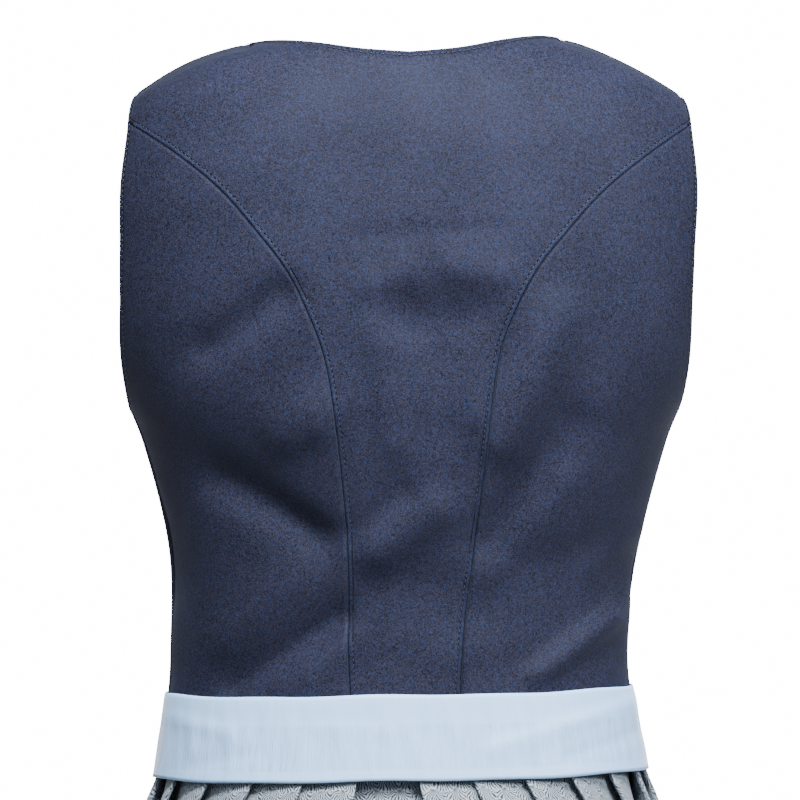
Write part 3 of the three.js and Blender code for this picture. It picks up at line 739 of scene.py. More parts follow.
def bow_point(x, out, z):
    """A place on the bow: x runs to the wearer's left from the knot, and out stands off the apron."""
    x, out, z = np.broadcast_arrays(np.asarray(x, float), out, z)
    points = np.empty((*x.shape, 3))
    for index in np.ndindex(x.shape):
        key = round(float(z[index]), 1)
        if key not in WALKS:
            WALKS[key] = RingWalk(skirt, key)
        ring = WALKS[key]
        lift = apron["lift"](key) + apron["gather"](key) + BOW["stand_off"]
        points[index] = ring.walk(ring.length * BOW["place"] - x[index], lift + out[index])
        points[index][2] = z[index]
    return points


def grid_normals(grid):
    across, down = np.empty_like(grid), np.empty_like(grid)
    across[:, 1:-1] = grid[:, 2:] - grid[:, :-2]
    across[:, 0], across[:, -1] = grid[:, 1] - grid[:, 0], grid[:, -1] - grid[:, -2]
    down[1:-1] = grid[2:] - grid[:-2]
    down[0], down[-1] = grid[1] - grid[0], grid[-1] - grid[-2]
    return unit(np.cross(across, down))


# Meshes


def dressed(name, mesh, look):
    """A smooth object of a mesh, with its material and its body."""
    mesh.polygons.foreach_set("use_smooth", [True] * len(mesh.polygons))
    mesh.materials.append(material(look))
    obj = bpy.data.objects.new(name, mesh)
    bpy.context.collection.objects.link(obj)
    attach(obj, "root")
    return obj


def plain_mesh(name, points, faces, edges=()):
    """A mesh from points in millimetres."""
    mesh = bpy.data.meshes.new(name)
    mesh.from_pydata((points * MM).tolist(), list(edges), faces)
    return mesh


def map_cloth(mesh, places):
    """Gives each corner of a mesh its point's place in the flat cloth, in metres."""
    corners = np.empty(len(mesh.loops), int)
    mesh.loops.foreach_get("vertex_index", corners)
    mesh.uv_layers.new(name="cloth").data.foreach_set("uv", places[corners].ravel())


def cleaned(mesh):
    """Merges doubled points and turns every face outwards."""
    shape = bmesh.new()
    shape.from_mesh(mesh)
    bmesh.ops.remove_doubles(shape, verts=shape.verts, dist=1e-6)
    bmesh.ops.recalc_face_normals(shape, faces=shape.faces)
    shape.to_mesh(mesh)
    shape.free()


def signed_volume(points, quads):
    quads = np.asarray(quads)
    a, b, c, d = (points[quads[:, k]] for k in range(4))
    return float((a * np.cross(b, c)).sum() + (a * np.cross(c, d)).sum())


def strip(*corners):
    """Faces whose four corners are taken in step from four grids of point numbers."""
    return np.stack([part.ravel() for part in corners], axis=1)


def wall_quads(rows, count):
    """Faces between an outer and an inner grid of points, with rims round the open edges."""
    outer, inner = np.arange(2 * rows * count).reshape(2, rows, count)
    quads = [
        strip(outer[:-1, :-1], outer[:-1, 1:], outer[1:, 1:], outer[1:, :-1]),
        strip(inner[:-1, :-1], inner[1:, :-1], inner[1:, 1:], inner[:-1, 1:]),
        strip(outer[0, :-1], inner[0, :-1], inner[0, 1:], outer[0, 1:]),
        strip(outer[-1, :-1], outer[-1, 1:], inner[-1, 1:], inner[-1, :-1]),
        strip(outer[:-1, 0], outer[1:, 0], inner[1:, 0], inner[:-1, 0]),
        strip(outer[:-1, -1], inner[:-1, -1], inner[1:, -1], outer[1:, -1]),
    ]
    return np.concatenate(quads)


def cloth_wall(node, outer, inner, look, slot, uv=None):
    """The cloth of a node, as a wall between two grids of points. It replaces the node's solid."""
    points = stand(np.concatenate([outer.reshape(-1, 3), inner.reshape(-1, 3)]))
    quads = wall_quads(*outer.shape[:2])
    mesh = plain_mesh(f"{node}_cloth", points, quads.tolist())
    if signed_volume(points, quads) < 0:
        mesh.flip_normals()
    if uv is not None:
        map_cloth(mesh, np.concatenate([uv.reshape(-1, 2)] * 2) * MM)
    piece = dressed(f"{node}_cloth", mesh, look)
    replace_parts(piece, node)
    return piece


def trimmed(grid, ends=True):
    """Half the seam gap is taken off a grid's sides, and off its first and last rows too."""
    grid = grid.copy()

    def pull(edge, inside):
        return edge + unit(inside - edge) * (SEAM_GAP / 2)

    grid[:, 0] = pull(grid[:, 0], grid[:, 1])
    grid[:, -1] = pull(grid[:, -1], grid[:, -2])
    if ends:
        grid[0] = pull(grid[0], grid[1])
        grid[-1] = pull(grid[-1], grid[-2])
    return grid


def tube_faces(rows, count, closed=False):
    """Faces round a row of rings, with flat ends unless the rings close on themselves."""
    index = np.arange(rows * count).reshape(rows, count)
    index = np.concatenate([index, index[:, :1]], axis=1)
    if closed:
        index = np.concatenate([index, index[:1]])
    sides = strip(index[:-1, :-1], index[:-1, 1:], index[1:, 1:], index[1:, :-1])
    ends = [] if closed else [index[0, :-1][::-1].tolist(), index[-1, :-1].tolist()]
    return sides, ends


def tube_along(name, line, normals, profile, look, closed=False):
    """A solid strip along a line of points. The profile holds places across and off the surface."""
    tangent = np.roll(line, -1, axis=0) - np.roll(line, 1, axis=0) if closed else np.gradient(line, axis=0)
    across = unit(np.cross(unit(tangent), normals))
    rings = line[:, None] + across[:, None] * profile[:, :1] + normals[:, None] * profile[:, 1:]
    sides, ends = tube_faces(*rings.shape[:2], closed)
    points = stand(rings.reshape(-1, 3))
    mesh = plain_mesh(name, points, sides.tolist() + ends)
    if signed_volume(points, sides) < 0:
        mesh.flip_normals()
    return dressed(name, mesh, look)


# Shaders

# Where a mix node of colours keeps its factor, its two colours and its result
MIX_INPUTS = (0, 6, 7)
MIX_OUTPUT = 2


class Sum:
    """A number in a material's node tree, so that shader maths reads as ordinary arithmetic."""

    def __init__(self, shader, socket):
        self.shader, self.socket = shader, socket

    def _math(self, operation, *others, swap=False):
        values = [self, *others]
        made = self.shader.node("ShaderNodeMath", {"operation": operation})
        for entry, value in zip(made.inputs, reversed(values) if swap else values):
            self.shader.feed(entry, value)
        return Sum(self.shader, made.outputs[0])

    __add__ = __radd__ = partialmethod(_math, "ADD")
    __sub__ = partialmethod(_math, "SUBTRACT")
    __rsub__ = partialmethod(_math, "SUBTRACT", swap=True)
    __mul__ = __rmul__ = partialmethod(_math, "MULTIPLY")
    __truediv__ = partialmethod(_math, "DIVIDE")
    __abs__ = partialmethod(_math, "ABSOLUTE")
    floor = partialmethod(_math, "FLOOR")
    fraction = partialmethod(_math, "FRACT")
    sine = partialmethod(_math, "SINE")
    cosine = partialmethod(_math, "COSINE")
    root = partialmethod(_math, "SQRT")
    most = partialmethod(_math, "MAXIMUM")
    # The angle whose tangent is this number over the other
    angle = partialmethod(_math, "ARCTAN2")

    def smooth(self, low, high):
        """Rises smoothly from 0 at low to 1 at high."""
        soft = {"interpolation_type": "SMOOTHSTEP"}
        made = self.shader.node("ShaderNodeMapRange", soft, Value=self, From_Min=low, From_Max=high)
        return Sum(self.shader, made.outputs["Result"])

    def ridge(self, centre, half_width):
        """A soft hill, 1 at the centre and 0 past half its width either side."""
        return 1 - abs(self - centre).smooth(0, half_width)


class Tree:
    """A node tree being made. A node's inputs are fed by name, with _ for a space."""

    def __init__(self, tree):
        self.tree = tree

    def feed(self, entry, value):
        if isinstance(value, Sum):
            self.tree.links.new(value.socket, entry)
        elif isinstance(value, bpy.types.NodeSocket):
            self.tree.links.new(value, entry)
        else:
            entry.default_value = value

    def node(self, kind, settings=None, **inputs):
        made = self.tree.nodes.new(kind)
        for key, value in (settings or {}).items():
            setattr(made, key, value)
        for key, value in inputs.items():
            self.feed(made.inputs[key.replace("_", " ")], value)
        return made


class Shader(Tree):
    """A material being made, with its surface shader."""

    def __init__(self, name):
        self.material = bpy.data.materials.new(name)
        self.material.use_nodes = True
        super().__init__(self.material.node_tree)
        self.surface = self.tree.nodes["Principled BSDF"]

    def place(self):
        """The point on the object, in metres."""
        return self.node("ShaderNodeTexCoord").outputs["Object"]

    def cloth(self):
        """The point in the flat cloth, in millimetres: across and along."""
        layer = self.node("ShaderNodeUVMap", {"uv_map": "cloth"}).outputs[0]
        parts = self.node("ShaderNodeSeparateXYZ", Vector=layer)
        return Sum(self, parts.outputs[0]) * 1000, Sum(self, parts.outputs[1]) * 1000

    def attribute(self, name):
        """A number that the mesh holds, in millimetres."""
        return Sum(self, self.node("ShaderNodeAttribute", {"attribute_name": name}).outputs["Fac"])

    def combine(self, x, y, z=0.0):
        return self.node("ShaderNodeCombineXYZ", X=x, Y=y, Z=z).outputs[0]

    def noise(self, vector, scale, detail=2.0, roughness=0.5):
        sizes = dict(Scale=scale, Detail=detail, Roughness=roughness)
        return Sum(self, self.node("ShaderNodeTexNoise", Vector=vector, **sizes).outputs[0])

    def blend(self, amount, first, second):
        """A colour between two others, which are colours or sockets."""
        made = self.node("ShaderNodeMix", {"data_type": "RGBA"})
        for place, value in zip(MIX_INPUTS, (amount, first, second)):
            self.feed(made.inputs[place], value)
        return made.outputs[MIX_OUTPUT]

    def scale_colour(self, colour, amount):
        made = self.node("ShaderNodeVectorMath", {"operation": "SCALE"})
        self.feed(made.inputs[0], colour[:3] if isinstance(colour, tuple) else colour)
        self.feed(made.inputs["Scale"], amount)
        return made.outputs[0]

    def bump(self, height, distance, strength=1.0):
        """Raises the surface by a height, where 1 is the distance in millimetres."""
        made = self.node("ShaderNodeBump", Height=height, Distance=distance * MM, Strength=strength)
        self.tree.links.new(made.outputs[0], self.surface.inputs["Normal"])

    def set(self, **inputs):
        for key, value in inputs.items():
            self.feed(self.surface.inputs[key.replace("_", " ")], value)
        return self.material


def suede_material(name, colour, lines):
    """Navy suede-look cloth: fine grain, bluish mottling, and sunk lines beside its seams darkened with
    painted shade.
    """
    shader = Shader(name)
    place = shader.place()
    grain = shader.noise(place, 1150, 2, 0.75)
    nap = shader.noise(place, 420, 3, 0.7)
    fleck = shader.noise(place, 560, 2, 0.6)
    cloud = shader.noise(place, 24, 2, 0.5)
    tone = 1 + 4.2 * (grain - 0.5) + 1.5 * (nap - 0.5) + 0.6 * (cloud - 0.5)
    height = grain + 0.5 * nap
    if lines:
        seam = shader.attribute("seam")
        rim = shader.attribute("rim")
        sewn = seam.ridge(WELT["width"] + 0.3, 0.7)
        crease = abs(seam).ridge(0, 1.1)
        beside_rim = rim.ridge(TOPSTITCH, 0.7)
        # Painted shade: the cloth is painted darker along each seam, beside its welt and beside the edge
        # stitching, where the bump also sinks it in
        shaded_groove = crease.most(0.6 * sewn).most(0.7 * beside_rim)
        tone = tone * (1 - 0.5 * shaded_groove)
        height = height - 4 * shaded_groove
    shader.bump(height, 0.22)
    bluer = shader.blend(0.6, colour, NAVY_FLECK)
    flecked = shader.blend(fleck.smooth(0.42, 0.68), colour, bluer)
    return shader.set(
        Base_Color=shader.scale_colour(flecked, tone.most(0.08)),
        Roughness=0.66 + 0.4 * (nap - 0.5) + 0.4 * (grain - 0.5),
        Specular_IOR_Level=0.1,
        Specular_Tint=(0.75, 0.82, 1, 1),
        Sheen_Weight=0.03,
        Sheen_Roughness=0.4,
        Sheen_Tint=(0.55, 0.65, 0.9, 1),
    )


def fan_row(across, along, row, shift):
    """One row of fans: how far each point is from its fan's foot, and the rays' light and dark."""
    x = ((across / FAN["width"] + 0.5 * shift).fraction() - 0.5) * FAN["width"]
    y = along - row * FAN["rise"]
    distance = (x * x + y * y).root()
    angle = x.angle(y + 0.8)
    rays = 0.5 + 0.5 * (angle * FAN["rays"] + 0.9 * (distance * 0.9).sine()).cosine()
    return distance, rays


def jacquard_material(name, light, dark):
    """Grey-blue jacquard: rows of small fans whose rays are satin on a matt ground."""
    shader = Shader(name)
    across, along = shader.cloth()
    flat = shader.combine(across, along)
    sway = shader.noise(flat, 0.16, 2, 0.6)
    sway_too = shader.noise(flat, 0.11, 2, 0.6)
    across = across + 5 * (sway - 0.5)
    along = along + 6 * (sway_too - 0.5)
    row = (along / FAN["rise"]).floor()
    shift = row - 2 * (row / 2).floor()
    own_distance, own_rays = fan_row(across, along, row, shift)
    lower_distance, lower_rays = fan_row(across, along, row - 1, 1 - shift)
    front = 1 - lower_distance.smooth(FAN["radius"] - 0.5, FAN["radius"] + 0.1)
    rays = own_rays + (lower_rays - own_rays) * front
    distance = own_distance + (lower_distance - own_distance) * front
    heart = 1 - distance.smooth(0.6, 2.4)
    rim = distance.ridge(FAN["radius"] - 0.4, 0.8)
    blotch = shader.noise(flat, 0.22, 2, 0.6)
    thread = shader.noise(flat, 2.2, 1, 0.5)
    weave = (rays.smooth(0.25, 0.7) * (1 - 0.75 * heart)).most(0.9 * rim)
    weave = weave * (0.75 + 0.5 * blotch) + 0.5 * (thread - 0.5)
    cloud = shader.noise(shader.place(), 14, 2, 0.5)
    colour = shader.blend(weave, dark, light)
    shader.bump(weave, 0.14)
    return shader.set(
        Base_Color=shader.scale_colour(colour, 0.88 + 0.24 * cloud),
        Roughness=0.62 - 0.2 * weave,
        Specular_IOR_Level=0.4,
        Sheen_Weight=0.1,
    )


def sheer_material(name, colour, zones):
    """Pale-blue semi-sheer cloth. On the sash its turned-in layers show as zones across its height."""
    shader = Shader(name)
    across, along = shader.cloth()
    fine = shader.combine(across, along * 0.12)
    wrinkle = shader.noise(fine, 0.16, 3, 0.6)
    hair = shader.noise(fine, 0.9, 2, 0.6)
    weave = shader.noise(shader.combine(across, along), 3.2, 1, 0.5)
    height = wrinkle - 0.5 + 0.35 * (hair - 0.5)
    tone = 0.985 + 0.1 * (wrinkle - 0.5) + 0.08 * (hair - 0.5) + 0.05 * (weave - 0.5)
    if zones:
        wander = 1.1 * (shader.noise(shader.combine(across, 0.0), 0.02, 2) - 0.5)
        down = along + wander + 5 * (wrinkle - 0.5) + 3 * (hair - 0.5)
        layer = down.smooth(LAYERS["top"] - 1, LAYERS["top"] + 1.6)
        layer = layer * (1 - down.smooth(LAYERS["foot"] - 1.2, LAYERS["foot"] + 1.2))
        edge = down.ridge(LAYERS["top"], 1.4)
        # The top 1.4 mm of the sash are painted lighter: a painted highlight along its upper edge
        tone = tone - 0.09 * layer - 0.02 * edge + 0.08 * (1 - along.smooth(0.3, 1.4))
        tone = tone + 0.3 * (wrinkle - 0.5) * layer + 0.15 * (hair - 0.5) * layer
        height = height * (0.35 + 0.65 * layer)
    shader.bump(height, 1)
    return shader.set(
        Base_Color=shader.scale_colour(colour, tone),
        Roughness=0.5,
        Specular_IOR_Level=0.35,
        Sheen_Weight=0.3,
        Sheen_Roughness=0.35,
    )


def metal_material(name):
    """Antique silver with darker hollows."""
    shader = Shader(name)
    spots = shader.noise(shader.place(), 900, 3, 0.6)
    tone = shader.blend(spots.smooth(0.35, 0.7), SILVER_DARK, SILVER_LIGHT)
    shader.bump(spots, 0.15)
    return shader.set(Base_Color=tone, Roughness=0.34 + 0.2 * spots, Metallic=0.9)


def thread_material(name, colour):
    """Twisted sewing thread."""
    shader = Shader(name)
    twist = shader.noise(shader.place(), 2600, 1, 0.5)
    return shader.set(Base_Color=shader.scale_colour(colour, 0.8 + 0.4 * twist), Roughness=0.55)


MATERIALS = {}


def material(name):
    """Each material is made once, when a piece first asks for it."""
    looks = bpy.context.scene.dirndl_looks
    makers = {
        "navy_suede": (suede_material, (*looks.navy, 1), True),
        "navy_edge": (suede_material, NAVY_EDGE, False),
        "skirt_jacquard": (jacquard_material, SKIRT_LIGHT, SKIRT_DARK),
        "sash_sheer": (sheer_material, (*looks.pale_blue, 1), True),
        "apron_sheer": (sheer_material, (*looks.pale_blue, 1), False),
        "button_metal": (metal_material,),
        "navy_thread": (thread_material, THREAD),
    }
    if name not in MATERIALS:
        make, *given = makers[name]
        MATERIALS[name] = make(name, *given)
    return MATERIALS[name]


# Stitches


def stitch_tree():
    """Lays threads end to end along a line: short rounded dashes with a gap between them."""
    made = Tree(bpy.data.node_groups.new("Stitches", "GeometryNodeTree"))
    face = made.tree.interface
    kinds = dict(Line="Geometry", Length="Float", Gap="Float", Radius="Float", Thread="Material")
    for name, kind in kinds.items():
        face.new_socket(name, in_out="INPUT", socket_type=f"NodeSocket{kind}")
    face.new_socket("Stitches", in_out="OUTPUT", socket_type="NodeSocketGeometry")
    given = made.node("NodeGroupInput").outputs
    length, radius = Sum(made, given["Length"]), given["Radius"]

    curve = made.node("GeometryNodeMeshToCurve", Mesh=given["Line"]).outputs[0]
    pitch = length + given["Gap"]
    points = made.node("GeometryNodeCurveToPoints", {"mode": "LENGTH"}, Curve=curve, Length=pitch).outputs
    dash = made.node("GeometryNodeMeshUVSphere", Segments=6, Rings=4, Radius=1).outputs["Mesh"]
    size = made.node("ShaderNodeCombineXYZ", X=radius, Y=radius, Z=length * 0.5).outputs[0]
    lie = made.node("FunctionNodeAlignRotationToVector", {"axis": "Z"}, Vector=points["Tangent"]).outputs[0]
    inputs = dict(Points=points["Points"], Instance=dash, Rotation=lie, Scale=size)
    copies = made.node("GeometryNodeInstanceOnPoints", **inputs).outputs[0]

    real = made.node("GeometryNodeRealizeInstances", Geometry=copies).outputs[0]
    threads = made.node("GeometryNodeSetMaterial", Geometry=real, Material=given["Thread"]).outputs[0]
    made.node("NodeGroupOutput", Stitches=threads)
    return made.tree


def baked(name, mesh, tree, inputs):
    """The mesh that a node tree makes from another."""
    obj = bpy.data.objects.new(name, mesh)
    bpy.context.collection.objects.link(obj)
    modifier = obj.modifiers.new("Made", "NODES")
    modifier.node_group = tree
    for entry in tree.interface.items_tree:
        if entry.in_out == "INPUT" and entry.name in inputs:
            modifier[entry.identifier] = inputs[entry.name]
    obj.update_tag()
    graph = bpy.context.evaluated_depsgraph_get()
    made = bpy.data.meshes.new_from_object(obj.evaluated_get(graph))
    obj.modifiers.clear()
    obj.data = made
    return obj


def sew(name, line):
    """A row of stitches along a line of points on the cloth."""
    pairs = [(i, i + 1) for i in range(len(line) - 1)]
    if "Stitches" not in bpy.data.node_groups:
        stitch_tree()
    inputs = {
        "Length": bpy.context.scene.dirndl_sizes.stitch_length,
        "Gap": STITCH["gap"] * MM,
        "Radius": STITCH["radius"] * MM,
        "Thread": material("navy_thread"),
    }
    tree = bpy.data.node_groups["Stitches"]
    obj = baked(name, plain_mesh(name, stand(line), [], pairs), tree, inputs)
    obj.data.polygons.foreach_set("use_smooth", [True] * len(obj.data.polygons))
    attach(obj, "root")


# Properties


class DirndlSizes(bpy.types.PropertyGroup):
    stitch_length: FloatProperty(
        name="Stitch length",
        description="Length of one stitch of the sewing on the bodice",
        default=STITCH["length"] * MM,
        unit="LENGTH",
    )
    welt_width: FloatProperty(
        name="Welt width",
        description="Width of the raised cloth along each lapped seam",
        default=WELT["width"] * MM,
        unit="LENGTH",
    )
    buttons: IntProperty(
        name="Buttons",
        description="How many buttons close the front",
        default=BUTTONS["count"],
    )


class DirndlLooks(bpy.types.PropertyGroup):
    navy: FloatVectorProperty(
        name="Bodice colour",
        description="Colour of the suede-look bodice",
        default=NAVY[:3],
        subtype="COLOR",
    )
    pale_blue: FloatVectorProperty(
        name="Apron colour",
        description="Colour of the sheer apron, sash and bow",
        default=PALE_BLUE[:3],
        subtype="COLOR",
    )


# Bodice


def both(places):
    return places, mirrored(places)


def panel_lines():
    """The finished edges and the sewn seams of the bodice as lines of points, in millimetres."""
    seam_back = turned(curved_seam(BACK_SEAM, "back", BACK_ANGLE), "back")
    seam_front = turned(curved_seam(FRONT_SEAM, "front", FRONT_ANGLE), "front")
    shoulder = turned(shoulder_seam(), "back")
    waist = np.stack([steps(300) * 2 * np.pi, np.full(301, WAIST_Z)], axis=-1)
    neck_back = turned(both_halves(neck_line(BACK_NECK, 60)), "back")
    neck_front = turned(both_halves(neck_line(FRONT_NECK, 120)), "front")
    arm = np.concatenate([armhole("back", 0, math.pi, 90), armhole("front", math.pi, 0, 90)[1:]])
    seams = [*both(seam_back), *both(seam_front), *both(shoulder), *both(side_seam()), waist]
    return seams, [neck_back, neck_front, *both(arm)]


def surface_line(places):
    """A line on the bodice with points about half a millimetre apart."""
    line = bodice_point(places[:, 0], places[:, 1], 0)
    length = np.linalg.norm(np.diff(line, axis=0), axis=1).sum()
    return evenly(line, int(length / LINE_GAP))


def distance_tree(lines):
    points = np.concatenate([surface_line(line) for line in lines])
    tree = KDTree(len(points))
    for i, point in enumerate(points):
        tree.insert(point, i)
    tree.balance()
    return tree


def hold_distances(obj, points, trees, side):
    """Keeps each point's distance to the seams and the finished edges. The side panels' are negative."""
    for name, tree in trees.items():
        sign = -1 if side and name == "seam" else 1
        values = [sign * tree.find(point)[2] for point in points]
        layer = obj.data.attributes.new(name, "FLOAT", "POINT")
        layer.data.foreach_set("value", values)


def bodice_panel(node, places, trees):
    outer = trimmed(bodice_point(places[..., 0], places[..., 1], 0))
    inner = trimmed(bodice_point(places[..., 0], places[..., 1], -BODICE_CLOTH))
    piece = cloth_wall(node, outer, inner, "navy_suede", "navy_suede")
    points = outer.reshape(-1, 3)
    hold_distances(piece, np.concatenate([points] * 2), trees, "side" in node)


class DIRNDL_OT_bodice(bpy.types.Operator):
    """Makes the seven panels of the bodice"""

    bl_idname = "dirndl.bodice"
    bl_label = "Bodice"

    def execute(self, context):
        seams, rims = panel_lines()
        trees = {"seam": distance_tree(seams), "rim": distance_tree(rims)}
        panels = {
            "bodice_back": back_places(),
            "bodice_front_left": front_places(FRONT_OVERLAP),
            "bodice_front_right": mirrored(front_places(-FRONT_OVERLAP)),
        }
        for face in ("back", "front"):
            places = side_places(face)
            panels[f"bodice_side_{face}_left"] = places
            panels[f"bodice_side_{face}_right"] = mirrored(places)
        for node, places in panels.items():
            bodice_panel(node, places, trees)
        return {"FINISHED"}


def strip_on_bodice(name, places, profile, outward=0.0, closed=False):
    line, normals = bodice_frame(places[:, 0], places[:, 1])
    line = line + normals * outward
    tube_along(name, line, normals, profile, "navy_edge", closed)


def half_oval(width, height):
    """The section of a strip that lies on the cloth, flat underneath."""
    angle = steps(6) * np.pi
    top = np.stack([-np.cos(angle) * width / 2, np.sin(angle) * height], axis=-1)
    return np.concatenate([top, [[width / 2, -0.15], [-width / 2, -0.15]]])


def beside(places, distance, around=False):
    """A line on the bodice beside another. Around an opening, it lies on the cloth's side of it."""
    line, normals = bodice_frame(places[:, 0], places[:, 1])
    across = unit(np.cross(unit(np.gradient(line, axis=0)), normals))
    if around:
        across = across * np.sign((across * (line - line.mean(axis=0))).sum())
    return line + across * distance + normals * STITCH["lift"]


class DIRNDL_OT_seams(bpy.types.Operator):
    """Makes the raised seams, the rolled edges and the stitching of the bodice"""

    bl_idname = "dirndl.seams"
    bl_label = "Seams and edges"

    def execute(self, context):
        width = context.scene.dirndl_sizes.welt_width / MM
        seams, rims = panel_lines()
        back_neck, front_neck, *arms = rims
        welt = half_oval(width, WELT["height"])
        inward = {"back_left": 1, "back_right": -1, "front_left": -1, "front_right": 1}
        for (name, way), places in zip(inward.items(), seams):
            lapped = welt + [way * (width / 2 + SEAM_GAP / 2), 0]
            strip_on_bodice(f"welt_{name}", places[1:-1], lapped)
            sew(f"stitch_{name}", beside(places[2:-2], way * (width + STITCH["from_welt"])))
        flat = {"shoulder_left": SHOULDER_WELT, "shoulder_right": SHOULDER_WELT}
        flat |= {"side_left": SIDE_WELT, "side_right": SIDE_WELT}
        for name, places in zip([*inward, *flat], seams):
            strip_on_bodice(f"allowance_{name}", places[1:-1], np.array(ALLOWANCE), -BODICE_CLOTH)
        for (name, size), places in zip(flat.items(), seams[len(inward) :]):
            strip_on_bodice(f"welt_{name}", places[1:-1], half_oval(**size))

        angle = steps(12)[:-1] * 2 * np.pi
        roll = np.stack([np.cos(angle), np.sin(angle)], axis=-1) * ROLL_RADIUS
        neckline = np.concatenate([back_neck, front_neck[::-1][1:-1]])
        strip_on_bodice("roll_neck", neckline, roll, -BODICE_CLOTH / 2, closed=True)
        for name, places in zip(("left", "right"), arms):
            strip_on_bodice(f"roll_arm_{name}", places[:-1], roll, -BODICE_CLOTH / 2, closed=True)
        for name, places in zip(("neck", "left", "right"), (neckline, *arms)):
            sew(f"stitch_{name}", beside(places, TOPSTITCH, around=True))
        return {"FINISHED"}


class DIRNDL_OT_buttons(bpy.types.Operator):
    """Makes the domed buttons down the front overlap"""

    bl_idname = "dirndl.buttons"
    bl_label = "Buttons"

    def execute(self, context):
        for i in range(context.scene.dirndl_sizes.buttons):
            node = f"button_{i + 1}"
            low, high = (Vector(corner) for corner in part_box(node))
            make_button(node, (low + high) / 2 / MM)
        return {"FINISHED"}


def make_button(node, centre):
    """A domed button with a raised rim and a ring of small bosses."""
    outward = bodice_point(np.pi, centre.z, 1) - bodice_point(np.pi, centre.z, 0)
    turn = Vector((0, 0, 1)).rotation_difference(Vector(outward).normalized())
    points = []
    for share, height in BUTTON_PROFILE:
        for angle in steps(BUTTON_POINTS)[:-1] * 2 * math.pi:
            boss = math.cos(BUTTON_BOSSES * angle)
            across = share * (1 + (0.012 * boss if share > 0.5 else 0)) * BUTTONS["radius"]
            up = (height + (0.03 * boss if 0.5 < share < 0.9 else 0)) * BUTTONS["thickness"]
            points.append(centre + turn @ Vector((across * math.cos(angle), across * math.sin(angle), up)))
    sides, _ = tube_faces(len(BUTTON_PROFILE), BUTTON_POINTS)
    mesh = plain_mesh(f"{node}_metal", np.array(points), sides.tolist())
    cleaned(mesh)
    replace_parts(dressed(f"{node}_metal", mesh, "button_metal"), node)


# Skirt


def skirt_grids():
    """The skirt's outer and inner faces and the places in the flat cloth, ring by ring."""
    z = mix(WAIST_Z - SEAM_GAP / 2, SKIRT_HEM_Z, steps(SKIRT_RINGS) ** 1.25)
    outer, inner, cloth = [], [], []
    for height in z:
        ring, places, radius = skirt_ring(height)
        ring, places = rounded(ring, places, radius)
        normals = ring_normals(ring)
        outer.append(ring + normals * SKIRT_CLOTH / 2)
        inner.append(ring - normals * SKIRT_CLOTH / 2)
        cloth.append(np.stack([places, np.full_like(places, WAIST_Z - height)], axis=-1))
    return np.array(outer), np.array(inner), np.array(cloth)


class DIRNDL_OT_skirt(bpy.types.Operator):
    """Makes the knife-pleated skirt in its back and front widths"""

    bl_idname = "dirndl.skirt"
    bl_label = "Skirt"

    def execute(self, context):
        outer, inner, cloth = skirt_grids()
        points = CORNER_POINTS + 1
        total = outer.shape[1]
        middle = (total // points // 2 - 1) * points + CORNER_POINTS // 2
        reach = (6 * SIDE_SEAM_PLEAT - 1) * points
        halves = {
            "skirt_back": (middle - reach, 2 * reach + 1),
            "skirt_front": (middle + reach, total - 2 * reach + 1),
        }
        for node, (start, count) in halves.items():
            pick = np.arange(start, start + count) % total
            faces = [trimmed(grid[:, pick], ends=False) for grid in (outer, inner)]
            uv = cloth[:, pick].copy()
            whole = 2 * PLEATS_A_SIDE * PLEAT_CLOTH
            uv[..., 0] = np.where(uv[..., 0] < uv[:, :1, 0] - 1, uv[..., 0] + whole, uv[..., 0])
            piece = cloth_wall(node, *faces, "skirt_jacquard", "skirt_jacquard", uv)
        return {"FINISHED"}


# Apron, sash and bow


class DIRNDL_OT_sash(bpy.types.Operator):
    """Makes the wide sash round the waist"""

    bl_idname = "dirndl.sash"
    bl_label = "Sash"

    def execute(self, context):
        top, foot = SASH[0]["z"], SASH[-1]["z"]
        waist = RingWalk(sash, WAIST_Z).length
        share = steps(SASH_GRID["points"])
        turn = (share + BOW["place"]) * 2 * np.pi
        wave = 0.45 * np.sin(5 * turn + 1) + 0.3 * np.sin(11 * turn)
        outer, inner, cloth = [], [], []
        for f in steps(SASH_GRID["rows"]):
            z = mix(top, foot, f)
            ring = RingWalk(sash, z)
            at = (share + BOW["place"]) * ring.length
            middle = np.sin(np.pi * f)
            ripple = 0.25 * np.sin(23 * turn + 3 * f) * middle + 0.18 * np.sin(57 * turn + 5 * f)
            rim = 0.35 * (1 - np.sin(np.pi * np.clip(f * SASH_GRID["rows"] / 2, 0, 1) / 2))
            spots = ring.walk(at, np.zeros_like(at))
            behind = spots[:, 1] > sash["middle"](z)
            folds = raised(SASH_FOLDS, spots[:, 0], spots[:, 2], behind)
            lift = np.array([0, 0, 1]) * (wave * (2 * abs(f - 0.5)) ** 3)[:, None]
            outer.append(ring.walk(at, ripple * middle - rim + folds) + lift)
            inner.append(ring.walk(at, np.full_like(at, -SASH_CLOTH)) + lift)
            cloth.append(np.stack([share * waist, np.full_like(share, top - z)], axis=-1))
        faces = np.array(outer), np.array(inner)
        piece = cloth_wall("sash", *faces, "sash_sheer", "apron_sheer", np.array(cloth))
        cleaned(piece.data)
        return {"FINISHED"}


